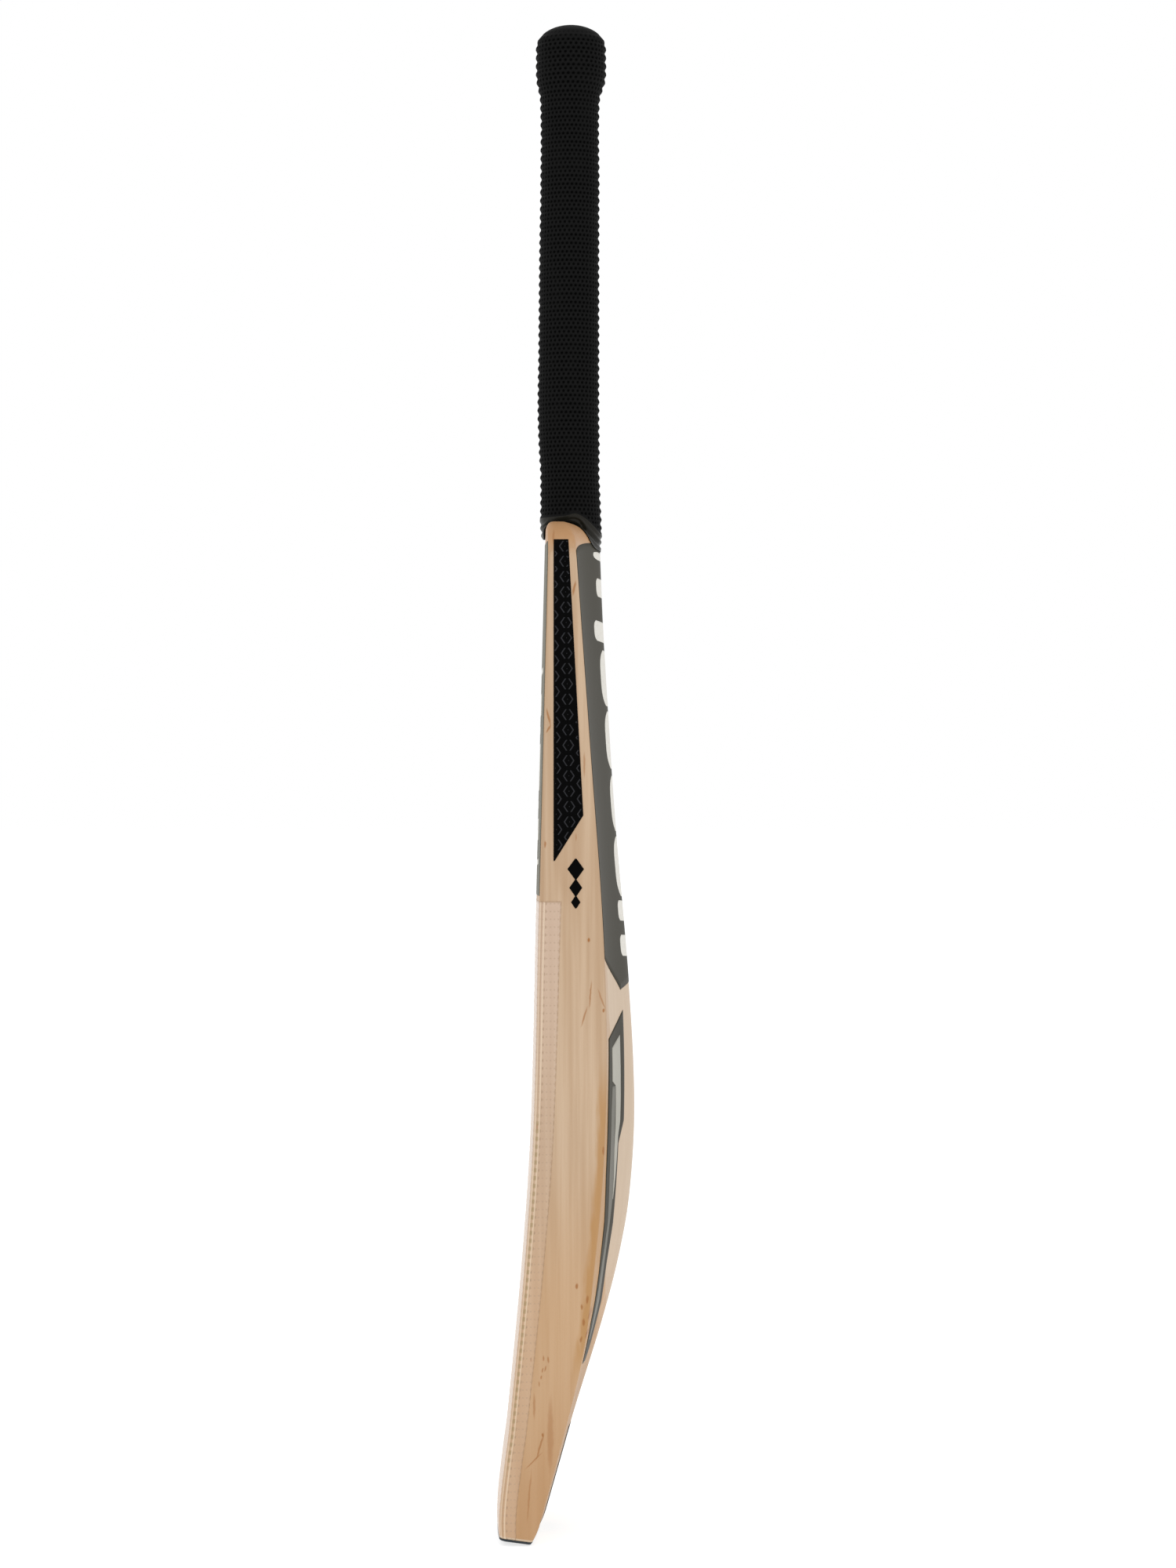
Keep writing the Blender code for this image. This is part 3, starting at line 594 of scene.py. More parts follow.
def willow(wood):
    """Pale willow with fine streaks, growth lines, stains and knots: its colour and height."""
    streak = wood.noise((1.5, 1.5, 0.022), detail=3)
    broad = wood.noise((0.16, 0.22, 0.007), detail=2)
    wander = wood.noise((0.03, 0.03, 0.004), detail=2)
    base = wood.mix(wood.fade(broad, 0.3, 0.7), colour("b19476"), colour("bfa589"))
    base = wood.tint(base, "a27f5c", wood.fade(streak, 0.42, 0.72), 0.16)

    shifted = wood.math("ADD", wood.x, wood.times(wander, 9.0))
    ring = wood.math("FRACT", wood.math("DIVIDE", shifted, RING_PITCH))
    line = wood.times(wood.math("POWER", ring, 5.0), wood.fade(ring, 1.0, 0.96))
    base = wood.tint(base, "9c7854", line, 0.35)

    pores = wood.noise((5.0, 5.0, 0.35), detail=1, offset=40)
    base = wood.tint(base, "926f4b", wood.fade(pores, 0.66, 0.8), 0.2)
    base = add_stains_and_painted_light(wood, base)

    wobble = wood.math("SUBTRACT", wood.noise((0.3, 0.3, 0.25), offset=9), 0.5)
    for knot in KNOTS:
        base = add_knot(wood, wood.times(wobble, 1.2), base, knot)
    height = wood.math("ADD", wood.times(streak, 0.7), wood.times(pores, -0.5))
    return base, height


def willow_material():
    wood = Surface("willow_wood", Roughness=0.5, Specular_IOR_Level=0.35, Coat_Weight=0.08,
                   Coat_Roughness=0.3)
    base, height = willow(wood)
    shine = wood.math("ADD", 0.42, wood.times(wood.noise((0.5, 0.5, 0.05)), 0.2))
    return wood.finish(base, height, bump=0.08, roughness=shine)


# Lines along the face's corner: the two pale ones are painted highlights on its rounding, the dark
# one a darker line between them: (mm behind the face, width, strength, colour)
CORNER_LINES = [(3.3, 0.3, 0.45, "dcc8ac"), (4.1, 0.3, 0.35, "94714c"), (5.3, 0.35, 0.5, "e0ccb0")]
CORNER_DOTS = 6.3           # a column of dark dots, mm behind the face
CORNER_OVALS = 4.4          # dark ovals of the lower face, between the bright lines


def add_corner_highlights_and_threads(sheet, row, base):
    """Painted highlights and a darker line along the face's corner, and the facing's dots and ovals
    there.
    """
    behind = sheet.attribute("behind_face")
    for place, width, strength, code in CORNER_LINES:
        line = sheet.band(behind, place - width / 2, place + width / 2, width)
        base = sheet.tint(base, code, line, strength)
    dot = sheet.times(sheet.band(behind, CORNER_DOTS - 0.15, CORNER_DOTS + 0.15, 0.3),
                      sheet.fade(row, 0.3, 0.1), 0.5)
    base = sheet.tint(base, "8f7358", dot)
    oval = sheet.times(sheet.band(behind, CORNER_OVALS - 0.5, CORNER_OVALS + 0.5, 0.5),
                       sheet.fade(row, 0.36, 0.2), sheet.band(sheet.z, 50.0, 232.0, 12.0), 0.6)
    return sheet.tint(base, "8f7a4e", oval)


def fibre_sheet_material():
    """Clear fibre facing over the wood: fine threads, and dots where they cross."""
    sheet = Surface("fibre_facing", Roughness=0.35, Specular_IOR_Level=0.45, Coat_Weight=0.25,
                    Coat_Roughness=0.2)
    base, _ = willow(sheet)
    veil = sheet.math("ADD", 0.2, sheet.times(sheet.fade(sheet.z, 200.0, 350.0), 0.45))
    base = sheet.tint(base, "bea592", veil)
    row = sheet.math("PINGPONG", sheet.math("DIVIDE", sheet.z, THREAD_PITCH), 0.5)
    sideways = sheet.math("DIVIDE", sheet.math("ADD", sheet.x, sheet.y), COLUMN_PITCH)
    column = sheet.math("PINGPONG", sideways, 0.5)
    dot = sheet.times(sheet.fade(row, 0.14, 0.04), sheet.fade(column, 0.3, 0.12))
    base = sheet.tint(base, "9d846c", dot, 0.4)
    base = add_corner_highlights_and_threads(sheet, row, base)
    weave = sheet.math("PINGPONG", sheet.times(sheet.z, 1.4), 0.5)
    height = sheet.math("ADD", sheet.times(weave, 0.4), sheet.times(dot, -1.0))
    border = sheet.attribute("from_border")
    edge = sheet.times(sheet.fade(border, 0.9, 0.2), sheet.fade(row, 0.5, 0.2), 0.5)
    base = sheet.tint(base, "a5835f", edge)
    return sheet.finish(base, height, bump=0.05)


def cane_material():
    """Cane cut across: pale, with dark fibre ends, and streaked along its length."""
    cane = Surface("handle_cane", Roughness=0.6, Specular_IOR_Level=0.3)
    fibres = cane.noise((2.6, 2.6, 0.05), detail=1)
    broad = cane.noise((0.2, 0.2, 0.02), offset=5)
    base = cane.mix(broad, colour("b98f58"), colour("cfac77"))
    base = cane.tint(base, "6d4a26", cane.fade(fibres, 0.56, 0.68), 0.7)
    return cane.finish(base, fibres, bump=0.15)


def twine_material():
    """Waxed twine wound round the handle: one turn a millimetre, with twisted strands."""
    twine = Surface("waxed_twine", Roughness=0.75, Specular_IOR_Level=0.2)
    turn = twine.math("PINGPONG", twine.z, 0.5)
    fluff = twine.noise((1.5, 1.5, 4.0), detail=2)
    base = twine.mix(twine.fade(turn, 0.0, 0.25), colour("5f5340"), colour("a99872"))
    base = twine.tint(base, "8b7a57", fluff, 0.4)
    return twine.finish(base, turn, bump=0.5)


# ---- rubber and labels

def grip_material():
    """Near-black rubber, drawn paler on its crests, with painted shade darkening its valleys and
    dimples.
    """
    rubber = Surface("black_grip_rubber", Roughness=0.6, Specular_IOR_Level=0.02)
    painted_light = rubber.attribute("painted_light")
    patch = rubber.noise((0.12, 0.12, 0.06), detail=3)
    grain = rubber.noise((5.0, 5.0, 5.0), detail=2, offset=3)
    base = rubber.mix(rubber.fade(painted_light, 0.4, 1.0), colour("010101"), colour("151515"))
    base = rubber.tint(base, "1a1a19", rubber.fade(patch, 0.45, 0.75), 0.12)
    shine = rubber.math("SUBTRACT", 0.7, rubber.times(painted_light, 0.15))
    return rubber.finish(base, grain, bump=0.04, roughness=shine)


def plain_rubber(name, dark, light, roughness, gloss, bump, offset=0):
    """Smooth rubber with a fine speckle: the spring strips, and the end of the sleeve."""
    rubber = Surface(name, Roughness=roughness, Specular_IOR_Level=gloss)
    speck = rubber.noise((1.2, 1.2, 1.2), detail=3, offset=offset)
    base = rubber.mix(speck, colour(dark), colour(light))
    return rubber.finish(base, speck, bump)


def guard_material():
    rubber = Surface("slate_guard_rubber", Roughness=0.6, Specular_IOR_Level=0.2)
    speck = rubber.noise((1.5, 1.5, 1.5), detail=4)
    scuff = rubber.noise((0.15, 0.6, 0.6), detail=3, offset=8)
    base = rubber.mix(speck, colour("1b2125"), colour("2a3238"))
    base = rubber.tint(base, "424a50", rubber.fade(scuff, 0.55, 0.75), 0.4)
    return rubber.finish(base, speck, bump=0.12)


def label_material(name, dark, light, roughness, gloss=0.2):
    """Printed film: an even ink with faint mottling, and a slight grain under the lacquer."""
    film = Surface(name, Roughness=roughness, Specular_IOR_Level=gloss)
    mottle = film.noise((0.7, 0.7, 0.35), detail=4, roughness=0.65)
    drift = film.noise((0.03, 0.03, 0.012), detail=1, offset=12)
    share = film.math("ADD", film.times(mottle, 0.6), film.times(drift, 0.5))
    base = film.mix(share, colour(dark), colour(light))
    return film.finish(base, mottle, bump=0.03)


def white_ink_material():
    ink = Surface("white_ink", Roughness=0.45, Specular_IOR_Level=0.3)
    wear = ink.noise((0.9, 0.9, 0.5), detail=4, roughness=0.7)
    base = ink.mix(ink.fade(wear, 0.45, 0.8), colour("d2cfc7"), colour("bdb9ae"))
    return ink.finish(base, wear, bump=0.03)


# ---- the blade

def blade_heights():
    """Heights of the blade's cross-sections: close at the ends, wider between them."""
    toe = [GUARD_THICKNESS, 2.3, 2.8, 3.5, 4.5, 6.0, 8.0, 10.5, 13.5, 17.0]
    body = spread(21.0, SHOULDER_START, 130)
    shoulder = []
    for angle in spread(0, 90, 18)[1:]:
        rise = SHOULDER_TOP - SHOULDER_START
        shoulder.append(SHOULDER_START + rise * math.sin(math.radians(angle)))
    return toe + body + shoulder


def cut_splice(blade):
    """Cut the V slot for the cane handle, so that the joint shows at the shoulder."""
    builder = bmesh.new()
    bmesh.ops.create_cube(builder, size=2.0)
    for vertex in builder.verts:
        top = vertex.co.z > 0
        half = (SPLICE_HALF_TOP if top else SPLICE_HALF_TIP) + SPLICE_GAP
        height = SHOULDER_TOP + CUTTER_OVERSHOOT if top else SPLICE_TIP
        vertex.co = Vector((vertex.co.x * half, vertex.co.y * CUTTER_REACH, height)) * MM
    cutter = add_object("splice_cutter", mesh_from(builder, "splice_cutter"))
    modifier = blade.modifiers.new("splice", "BOOLEAN")
    modifier.operation = "DIFFERENCE"
    modifier.object = cutter
    graph = bpy.context.evaluated_depsgraph_get()
    result = bpy.data.meshes.new_from_object(blade.evaluated_get(graph), depsgraph=graph)
    blade.modifiers.clear()
    blade.data = result
    bpy.data.objects.remove(cutter)


def store_corner_distance(mesh):
    """Keep each vertex's distance in front of the blade's back corner."""
    store(mesh, "from_back_corner",
          [v.co.y / MM - edge_y(v.co.z / MM) for v in mesh.vertices])


def build_blade(wood):
    builder = bmesh.new()
    add_loft(builder, [blade_ring(z, LAYER) for z in blade_heights()])
    blade = make_piece("willow_blade", builder, [wood], "blade")
    cut_splice(blade)
    store_corner_distance(blade.data)


def build_face_sheet(facing):
    """The fibre facing, with a low ridge where each thread crosses it."""
    steps_per_thread = 4
    count = int((SHEET_TOP - 5.0) / THREAD_PITCH * steps_per_thread)
    heights = [GUARD_THICKNESS + LAYER, 3.0] + spread(5.0, SHEET_TOP, count)
    rows = []
    borders, depths = [], []
    for z in heights:
        phase = math.cos(2 * math.pi * z / THREAD_PITCH)
        sink = THREAD_RELIEF * (0.5 - 0.5 * phase)
        wrap = SHEET_WRAP_TOE + (SHEET_WRAP_TOP - SHEET_WRAP_TOE) * z / SHEET_TOP
        half = face_half(z, sink)
        side, start = half[-1]
        limit = face_y(z) + wrap
        half += [(side, y) for y in spread(start, limit, 6)[1:]]
        row = [(-x, y, z) for x, y in reversed(half[1:])] + [(x, y, z) for x, y in half]
        rows.append(row)
        borders += [min(limit - y, SHEET_TOP - z) for _, y, _ in row]
        depths += [y - face_y(z) for _, y, _ in row]
    sheet = make_skin("face_sheet", [(rows, 0)], [facing])
    store(sheet.data, "from_border", borders)
    store(sheet.data, "behind_face", depths)
    store_corner_distance(sheet.data)


# ---- the labels

def back_rows(x_from, x_to, low, high, columns, steps):
    """Rows over the back between two height functions of x."""
    rows = []
    for share in spread(0.0, 1.0, steps):
        row = []
        for x in spread(x_from, x_to, columns):
            z = blend(low(x), high(x), share)
            row.append(on_back(x, z))
        rows.append(row)
    return rows


def printed_block(place, block):
    """Rows of one slanting printed block, laid on a side of the blade."""
    bottom, top, half, roundness = block
    rows = []
    for share in spread(0.0, 1.0, max(6, round(top - bottom))):
        reach = half * (1 - roundness * abs(2 * share - 1) ** 4)
        level = blend(bottom, top, share)
        rows.append([place(x, level + BLOCK_SLANT * x, INK) for x in spread(reach, -reach, 24)])
    return rows


def build_spine_label(film, ink):
    """The long label over the spine, with a column of slanting printed blocks."""
    reach = HALF_WIDTH - BACK_CORNER

    def lower_end(x):
        inside = abs(x) / SPINE_LABEL_POINT_X
        if inside < 1:
            return blend(SPINE_LABEL_NOTCH, SPINE_LABEL_POINT, inside)
        outside = (abs(x) - SPINE_LABEL_POINT_X) / (reach - SPINE_LABEL_POINT_X)
        return blend(SPINE_LABEL_POINT, SPINE_LABEL_SIDE, outside ** SPINE_LABEL_BEND)

    def upper_end(x):
        return SPINE_LABEL_TOP + SPINE_LABEL_ARCH * math.sqrt(1 - (x / HALF_WIDTH) ** 2)

    sheets = [(back_rows(reach, -reach, lower_end, upper_end, columns=104, steps=62), 0)]
    sheets += [(printed_block(on_back, block), 1) for block in SPINE_BLOCKS]
    make_skin("spine_label", sheets, [film, ink])


def build_front_label(film, ink):
    """The label on the upper face, wrapped a little round its corners, with printed blocks."""
    rows = []
    for z in spread(FRONT_LABEL_BOTTOM, FRONT_LABEL_TOP, 60):
        half = [(x, y, z) for x, y in face_half(z, 0.0)[:FACE_STEPS + FRONT_LABEL_WRAP]]
        rows.append([(-x, y, z) for x, y, z in reversed(half[1:])] + half)
    sheets = [(rows, 0)]
    for block in FRONT_BLOCKS:
        sheets.append((outward(printed_block(on_face, block), -1), 1))
    make_skin("front_label", sheets, [film, ink])


def flash_rows(side, shape, steps, lift=0.0):
    """Rows of the flash, or of a shape printed on it, on one slope of the back."""
    bottom, top_outside, top_inside, outer, inner = shape
    outer_rise, inner_rise = straight_curve(outer), straight_curve(inner)
    rows = []
    for share in spread(0.0, 1.0, steps):
        row = []
        for across in spread(0.0, 1.0, 12):
            z = blend(bottom, blend(top_outside, top_inside, across), share)
            rise = blend(outer_rise(z), inner_rise(z), across)
            row.append(on_back(side * back_x(rise, z), z, lift))
        rows.append(row)
    return outward(rows, side)


def build_flash(name, side, film, panel, shade):
    """A tapering label on one slope of the back, with a pale panel inside its dark border."""
    sheets = [(flash_rows(side, FLASH, 110), 0), (flash_rows(side, FLASH_PANEL, 60, INK), 1),
              (flash_rows(side, FLASH_SHADE, 80, INK), 2)]
    make_skin(name, sheets, [film, panel, shade])


def edge_label_back(z):
    """The y of an edge label's back side, which is straight down to its slanted end."""
    if z < EDGE_LABEL_SLANT:
        point = EDGE_LABEL_TIP - EDGE_LABEL_BLUNT
        share = (z - point) / (EDGE_LABEL_SLANT - point)
        return blend(EDGE_LABEL_FRONT, EDGE_LABEL_BACK_LOW, share)
    share = (z - EDGE_LABEL_SLANT) / (EDGE_LABEL_TOP - EDGE_LABEL_SLANT)
    return blend(EDGE_LABEL_BACK_LOW, EDGE_LABEL_BACK_TOP, share)


def on_edge_label(y, z):
    margin = EDGE_LABEL_MARGIN
    inside = EDGE_LABEL_FRONT + margin < y < edge_label_back(z) - margin
    return inside and EDGE_LABEL_TIP < z < EDGE_LABEL_TOP - margin


def clipped(rows):
    """The runs of a strip of rows, each of (y, z) pairs, that lie on the edge label."""
    run = []
    for row in rows:
        if all(on_edge_label(y, z) for y, z in row):
            run.append(row)
            continue
        if len(run) > 1:
            yield run
        run = []
    if len(run) > 1:
        yield run


def chevron(y, z, hand):
    """One side of an open rhombus: two strokes that meet in its side tip, from low to high."""
    length = math.hypot(RHOMBUS_HALF_Y, RHOMBUS_HALF_Z)
    half_line = RHOMBUS_LINE / 2 * length / RHOMBUS_HALF_Z
    rows = []
    for t in spread(-1.0, 1.0, 12):
        run = abs(t) * RHOMBUS_REACH
        middle = y + hand * RHOMBUS_HALF_Y * (1 - run)
        level = z + math.copysign(RHOMBUS_HALF_Z * run, t)
        rows.append([(middle - half_line, level), (middle + half_line, level)])
    return rows


def rhombus_lines(y, z):
    """The strips of one open rhombus: its two sides, and the dot in its middle."""
    yield chevron(y, z, -1)
    yield chevron(y, z, 1)
    ends = (y - RHOMBUS_DOT, y + RHOMBUS_DOT)
    yield [[(end, level) for end in ends] for level in (z - RHOMBUS_DOT, z + RHOMBUS_DOT)]


def rhombus_centres():
    """Where the rhombi lie: columns that lean a little, each half a pitch off the next."""
    for column in RHOMBUS_COLUMNS:
        z = RHOMBUS_FIRST_Z - RHOMBUS_PITCH_Z * (RHOMBI_BELOW + (column % 2) / 2)
        while z < EDGE_LABEL_TOP + RHOMBUS_PITCH_Z:
            lean = RHOMBUS_LEAN * (z - RHOMBUS_Y_HEIGHT)
            yield RHOMBUS_Y + lean + RHOMBUS_PITCH_Y * column, z
            z += RHOMBUS_PITCH_Z


def build_edge_label(name, side, film, line):
    """The long label on one edge, with a lattice of raised open rhombi."""
    def placed(rows, lift=0.0):
        return outward([[on_edge(side, y, z, lift) for y, z in row] for row in rows], side)

    heights = spread(EDGE_LABEL_TIP, EDGE_LABEL_SLANT, 8) + spread(410.0, SHOULDER_START, 30)
    heights += spread(SHOULDER_START, EDGE_LABEL_TOP, 6)[1:]
    field = [[(y, z) for y in spread(EDGE_LABEL_FRONT, edge_label_back(z), 10)] for z in heights]
    sheets = [(placed(field), 0)]
    for y, z in rhombus_centres():
        for strip in rhombus_lines(y, z):
            sheets += [(placed(run, INK), 1) for run in clipped(strip)]
    make_skin(name, sheets, [film, line])


def build_edge_mark(name, side, film):
    """The chain of three rhombi on one edge."""
    outline = []
    z = MARK_BOTTOM
    for half_y, half_z in reversed(MARK_SIZES):
        outline += [(MARK_NECK, z), (half_y, z + half_z)]
        z += 2 * half_z
    outline.append((MARK_NECK, z))
    rows = []
    for half, z in outline:
        rows.append([on_edge(side, MARK_Y + half * share, z) for share in spread(-1.0, 1.0, 6)])
    make_skin(name, [(outward(rows, side), 0)], [film])


def build_toe_label(film):
    rows = []
    for z in spread(TOE_LABEL_BOTTOM, TOE_LABEL_TOP, 24):
        rows.append([on_back(x, z) for x in spread(TOE_LABEL_HALF_WIDTH, -TOE_LABEL_HALF_WIDTH, 30)])
    make_skin("toe_label", [(rows, 0)], [film])


# ---- the grip and the toe guard

GRIP_COLUMNS = DIMPLES_AROUND * DIMPLE_STEPS
GRIP_FOOT = GRIP_STATIONS[0][0]
WOOD_REACH_LIMIT, WOOD_REACH_HALVINGS = 26.0, 16
MOUTH_INSIDE, MOUTH_ROUND = GRIP_MOUTH - 0.3, 0.5   # radius inside the mouth; its edge's depth
INSIDE_LIGHT = 0.5          # painted shade: the sleeve's inside is drawn darker than its crests
# Heights of the mesh rows inside the sleeve, below its mouth
INSIDE_HEIGHTS = [TOTAL_LENGTH - GRIP_WALL - 1.0, 848.0, 844.0, 838.0, 824.0, 812.0, 740.0, 668.0,
                  635.0, 600.0]


def texture(column, z):
    """How far the moulded surface sinks at one column and height, and how light it is drawn there,
    with painted shade in the valleys and dimples.
    """
    around, along = column / DIMPLE_STEPS, z / RIB_PITCH
    valley = 0.5 - 0.5 * math.cos(2 * math.pi * along)
    sink = RIB_RELIEF * valley
    light = 1 - VALLEY_SHADE * valley
    for (depth, half_around, half_along), shift in ((CREST_DIMPLE, 0.0), (VALLEY_DIMPLE, 0.5)):
        u = (around + shift + 0.5) % 1 - 0.5
        v = (along + shift + 0.5) % 1 - 0.5
        hollow = math.exp(-(u / half_around) ** 2 - (v / half_along) ** 2)
        sink += depth * hollow
        light -= DIMPLE_SHADE * depth * hollow
    return sink, light


def dome_share(z):
    """How much of the grip's width is left at one height of its domed top."""
    lip = math.sqrt(1 - (GRIP_MOUTH / grip_depth(TOTAL_LENGTH)) ** 2)
    rise = lip - (TOTAL_LENGTH - z) / GRIP_DOME
    return math.sqrt(1 - rise ** 2) if rise > 0 else 1.0


def grip_point(turn, z, sink=0.0):
    """A point of the grip's outer form, pulled in by sink millimetres."""
    share = dome_share(z)
    depth, width = grip_depth(z) * share - sink, grip_width(z) * share - sink
    return (width * math.cos(turn), grip_middle(z) + depth * math.sin(turn), z)


def grip_turns():
    return [2 * math.pi * column / GRIP_COLUMNS for column in range(GRIP_COLUMNS)]


def texture_ring(level):
    """One mesh row of the moulded sleeve, and how light its points are drawn: painted shade in the
    hollows.
    """
    ring, lights = [], []
    for column, turn in enumerate(grip_turns()):
        edge = texture_edge_z(grip_point(turn, GRIP_FOOT)[1])
        z = level
        if level < LEVEL_FROM:
            z = blend(edge, LEVEL_FROM, (level - GRIP_FOOT) / (LEVEL_FROM - GRIP_FOOT))
        strength = smooth_step(z, edge, edge + TEXTURE_FADE)
        strength *= smooth_step(z, TOTAL_LENGTH - TEXTURE_TOP, TOTAL_LENGTH - TEXTURE_FULL)
        sink, light = texture(column, z)
        ring.append(grip_point(turn, z, sink * strength))
        lights.append(blend(1.0, light, strength))
    return ring, lights


def wood_reach(angle, z):
    """How far the blade's wood reaches from the handle's axis, found by halving."""
    low, high = 0.0, WOOD_REACH_LIMIT
    for _ in range(WOOD_REACH_HALVINGS):
        radius = (low + high) / 2
        x, y = radius * math.cos(angle), grip_middle(GRIP_FOOT) + radius * math.sin(angle)
        if abs(x) < form_half_width(z) and form_front(x, z) < y < form_back(x, z):
            low = radius
        else:
            high = radius
    return high


def hem_ring(share, inner=False):
    """One line of the smooth hem, from the texture (0) down to its lower edge (1)."""
    middle = grip_middle(GRIP_FOOT)
    ring = []
    for turn in grip_turns():
        x, y, _ = grip_point(turn, GRIP_FOOT)
        start, edge = texture_edge_z(y), hem_edge_z(y)
        z = blend(start, edge, share)
        wall = blend(HEM_WALL, HEM_LIP, smooth_step(share, 0.4, 1.0) * smooth_step(y, 8.0, 15.0))
        fold = HEM_FOLD_RELIEF * math.sin(math.pi * share) * smooth_step(start - edge, 4.0, 9.0)
        fold *= math.sin(2 * math.pi * (HEM_FOLDS * share + 0.03 * x))
        roll = HEM_ROLL * smooth_step(-y, 8.0, 12.0) * math.sin(math.pi * share ** 4)
        radius = math.hypot(x, y - middle) * (1 - HEM_TAPER * smooth_step(share, 0.0, 1.0))
        direction = math.atan2(y - middle, x)
        if z < SHOULDER_TOP:
            radius = max(radius, wood_reach(direction, z) + wall)
        radius += (fold + roll) - (wall if inner else 0.0)
        ring.append((radius * math.cos(direction), middle + radius * math.sin(direction), z))
    return ring


def mouth_rings():
    """The rolled mouth in the grip's top, and the sleeve's inside down to the hem."""
    rings = []
    for z in (TOTAL_LENGTH - MOUTH_ROUND, TOTAL_LENGTH - GRIP_WALL):
        rings.append([(MOUTH_INSIDE * math.cos(turn), KNOB_Y + MOUTH_INSIDE * math.sin(turn), z)
                      for turn in grip_turns()])
    for z in INSIDE_HEIGHTS:
        rings.append([grip_point(turn, z, GRIP_WALL) for turn in grip_turns()])
    return rings


def build_grip(rubber, hem):
    """The rubber sleeve: moulded ribs and dimples, a smooth hem, and a mouth in its top."""
    rings = [hem_ring(share) for share in spread(1.0, 0.0, HEM_STEPS)]
    lights = [1.0] * GRIP_COLUMNS * len(rings)
    count = round((TOTAL_LENGTH - GRIP_FOOT) / RIB_PITCH * RIB_STEPS)
    for level in spread(GRIP_FOOT, TOTAL_LENGTH, count)[1:]:
        ring, row_lights = texture_ring(level)
        rings.append(ring)
        lights += row_lights
    inside = mouth_rings() + [hem_ring(share, inner=True) for share in spread(0.0, 1.0, 4)]
    rings += inside
    lights += [INSIDE_LIGHT] * GRIP_COLUMNS * len(inside)
    builder = bmesh.new()
    add_loft(builder, rings, closed=True)
    for number, face in enumerate(builder.faces):
        face.material_index = int(number < HEM_STEPS * GRIP_COLUMNS)
    grip = make_piece("ribbed_grip", builder, [rubber, hem], "grip",
                      smooth_angle=60)
    # Painted shade: darker in the valleys, the dimples and the sleeve's inside
    store(grip.data, "painted_light", lights)


def build_toe_guard(rubber):
    builder = bmesh.new()
    heights = [0.0, 0.05, 0.15, 0.3, 0.5, 0.8, 1.2, 1.6, GUARD_THICKNESS]
    add_loft(builder, [blade_ring(z, 0.0) for z in heights])
    make_piece("fine_toe_guard", builder, [rubber], "toe_guard")


# ---- solids that stay

def repaint_solids():
    """Give the cane sticks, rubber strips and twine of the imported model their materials."""
    cane, twine = cane_material(), twine_material()
    strip = plain_rubber("strip_rubber", "241d1a", "3d312b", 0.8, 0.1, bump=0.1)
    for name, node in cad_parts.items():
        for start, material in (("cane_", cane), ("spring_", strip), ("binding", twine)):
            if name.startswith(start):
                node.data.materials.clear()
                node.data.materials.append(material)


# ---- stage, lights and camera

FLOOR_GLOW = 0.7            # lifts the floor to white, and softens the bat's shadow
# Soft lamps that face the bat's middle: (name, place in metres, size in metres, power in watts)
LAMPS = [("key", (2.05, -1.45, 1.2), (1.2, 1.8), 6.5), ("rim", (0.9, 2.2, 1.2), (1.2, 1.8), 4.5)]
CAMERA_PLACE = (2.0, 0.013, 0.423)      # metres: level, square to one edge of the blade
CAMERA_LENS = 80.59


def build_floor():
    floor = Surface("pale_floor", Roughness=0.9, Specular_IOR_Level=0.0,
                    Emission_Strength=FLOOR_GLOW)
    cloud = floor.noise((0.002, 0.002, 0.002), detail=1)
    base = floor.mix(cloud, colour("bababa"), colour("bcbcbc"))
    material = floor.finish(base)
    bpy.ops.mesh.primitive_plane_add(size=60.0)
    plane = bpy.context.object
    plane.name = "floor"
    plane.data.materials.append(material)


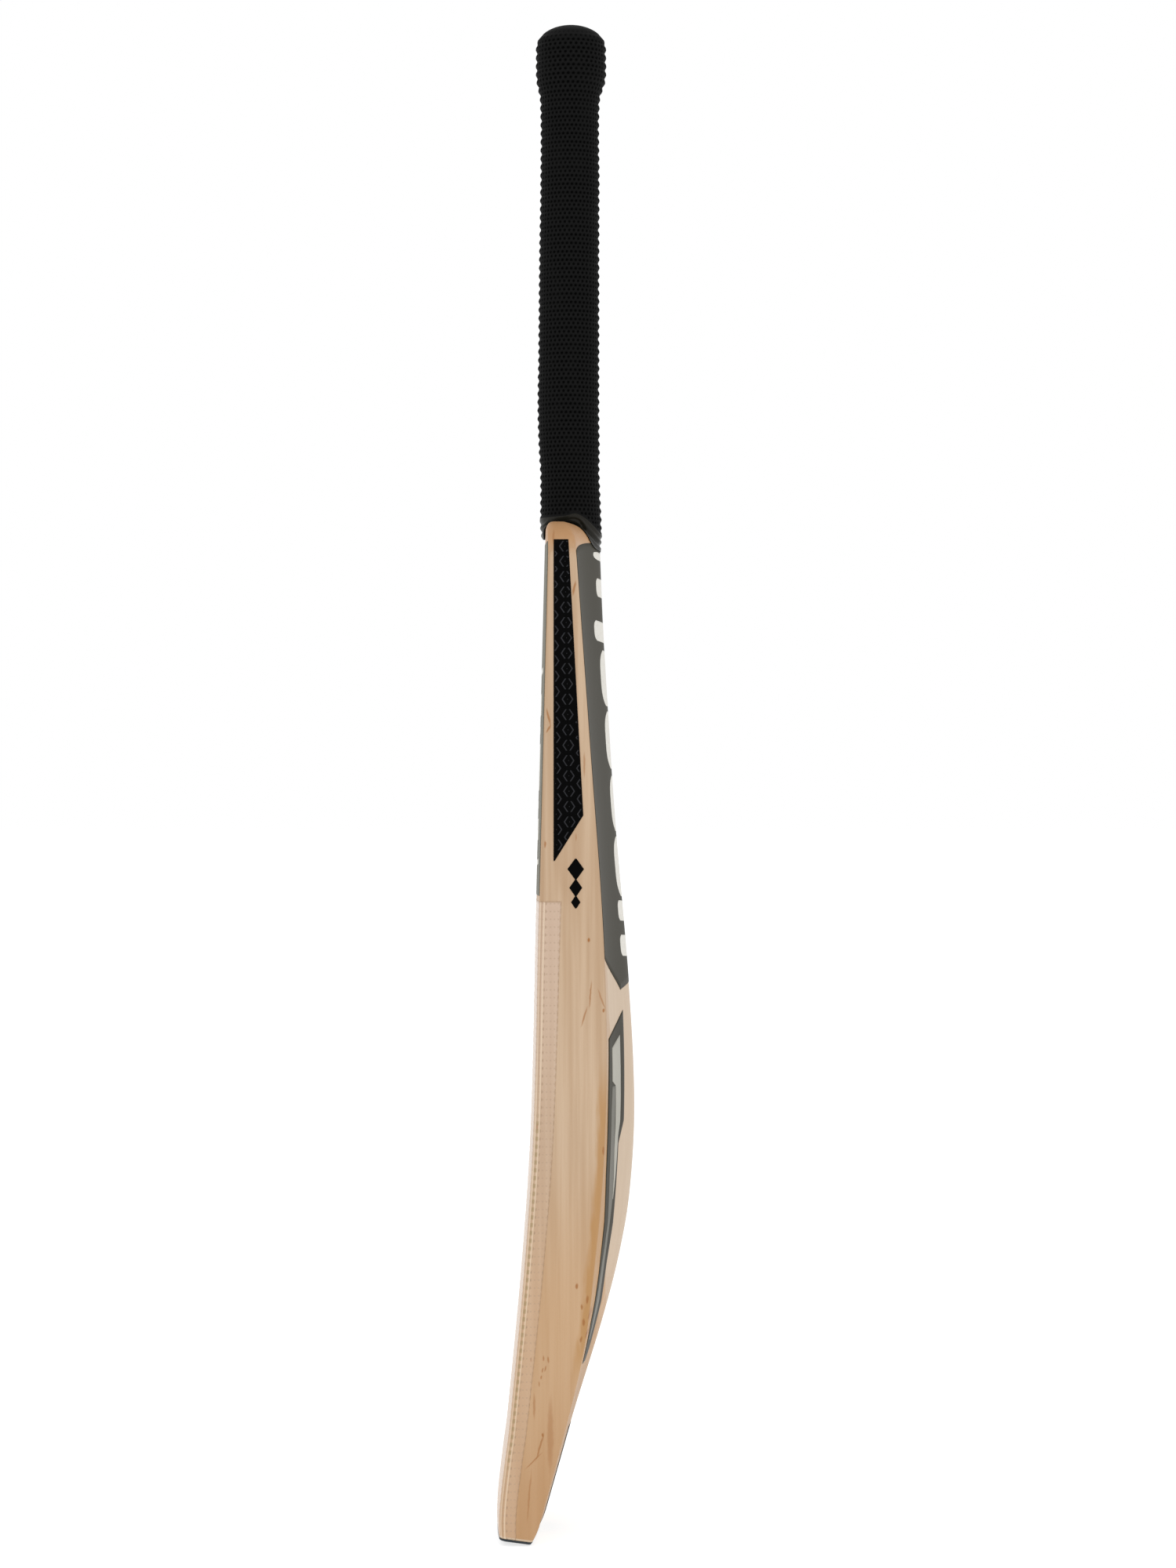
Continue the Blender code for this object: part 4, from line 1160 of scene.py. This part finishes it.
def add_light(name, location, size, power):
    lamp = bpy.data.lights.new(name, "AREA")
    lamp.shape = "RECTANGLE"
    lamp.size, lamp.size_y = size
    lamp.energy = power
    light = add_object(name, lamp)
    light.location = location
    target = Vector((0.0, 0.0, TOTAL_LENGTH * MM / 2))
    light.rotation_euler = (target - light.location).to_track_quat("-Z", "Y").to_euler()


def build_lights():
    world = bpy.data.worlds.new("studio")
    world.use_nodes = True
    background = world.node_tree.nodes["Background"]
    background.inputs["Color"].default_value = (1.0, 1.0, 1.0, 1.0)
    bpy.context.scene.world = world
    for lamp in LAMPS:
        add_light(*lamp)


def build_camera():
    """Level, square to one edge of the blade, two metres away."""
    camera = bpy.data.cameras.new("camera")
    camera.lens = CAMERA_LENS
    camera.sensor_width = 36.0
    camera.clip_end = 100.0
    eye = add_object("camera", camera)
    eye.location = CAMERA_PLACE
    eye.rotation_euler = (math.radians(90), 0.0, math.radians(90))
    bpy.context.scene.camera = eye


# ---- the whole bat

wood_material = willow_material()
olive_film = label_material("olive_grey_film", "322f26", "3b382e", 0.5, gloss=0.1)
front_film = label_material("front_grey_film", "5d5b4f", "696659", 0.5, gloss=0.1)
black_film = label_material("black_film", "030303", "070707", 0.45, gloss=0.02)
emboss_ink = label_material("embossed_line", "242426", "303034", 0.35, gloss=0.05)
pale_film = label_material("pale_silver_film", "969388", "a5a297", 0.4)
grey_film = label_material("mid_grey_film", "57554b", "625f55", 0.4)
white_ink = white_ink_material()
hem_rubber = plain_rubber("smooth_hem_rubber", "151410", "222019", 0.38, 0.14, bump=0.03, offset=6)

build_blade(wood_material)
build_face_sheet(fibre_sheet_material())
build_front_label(front_film, white_ink)
build_spine_label(olive_film, white_ink)
build_toe_label(olive_film)
for hand, direction in SIDES:
    build_flash(f"back_flash_{hand}", direction, olive_film, pale_film, grey_film)
    build_edge_label(f"edge_label_{hand}", direction, black_film, emboss_ink)
    build_edge_mark(f"edge_mark_{hand}", direction, black_film)
build_grip(grip_material(), hem_rubber)
build_toe_guard(guard_material())
repaint_solids()

build_floor()
build_lights()
build_camera()
bpy.context.scene.view_settings.view_transform = "Standard"
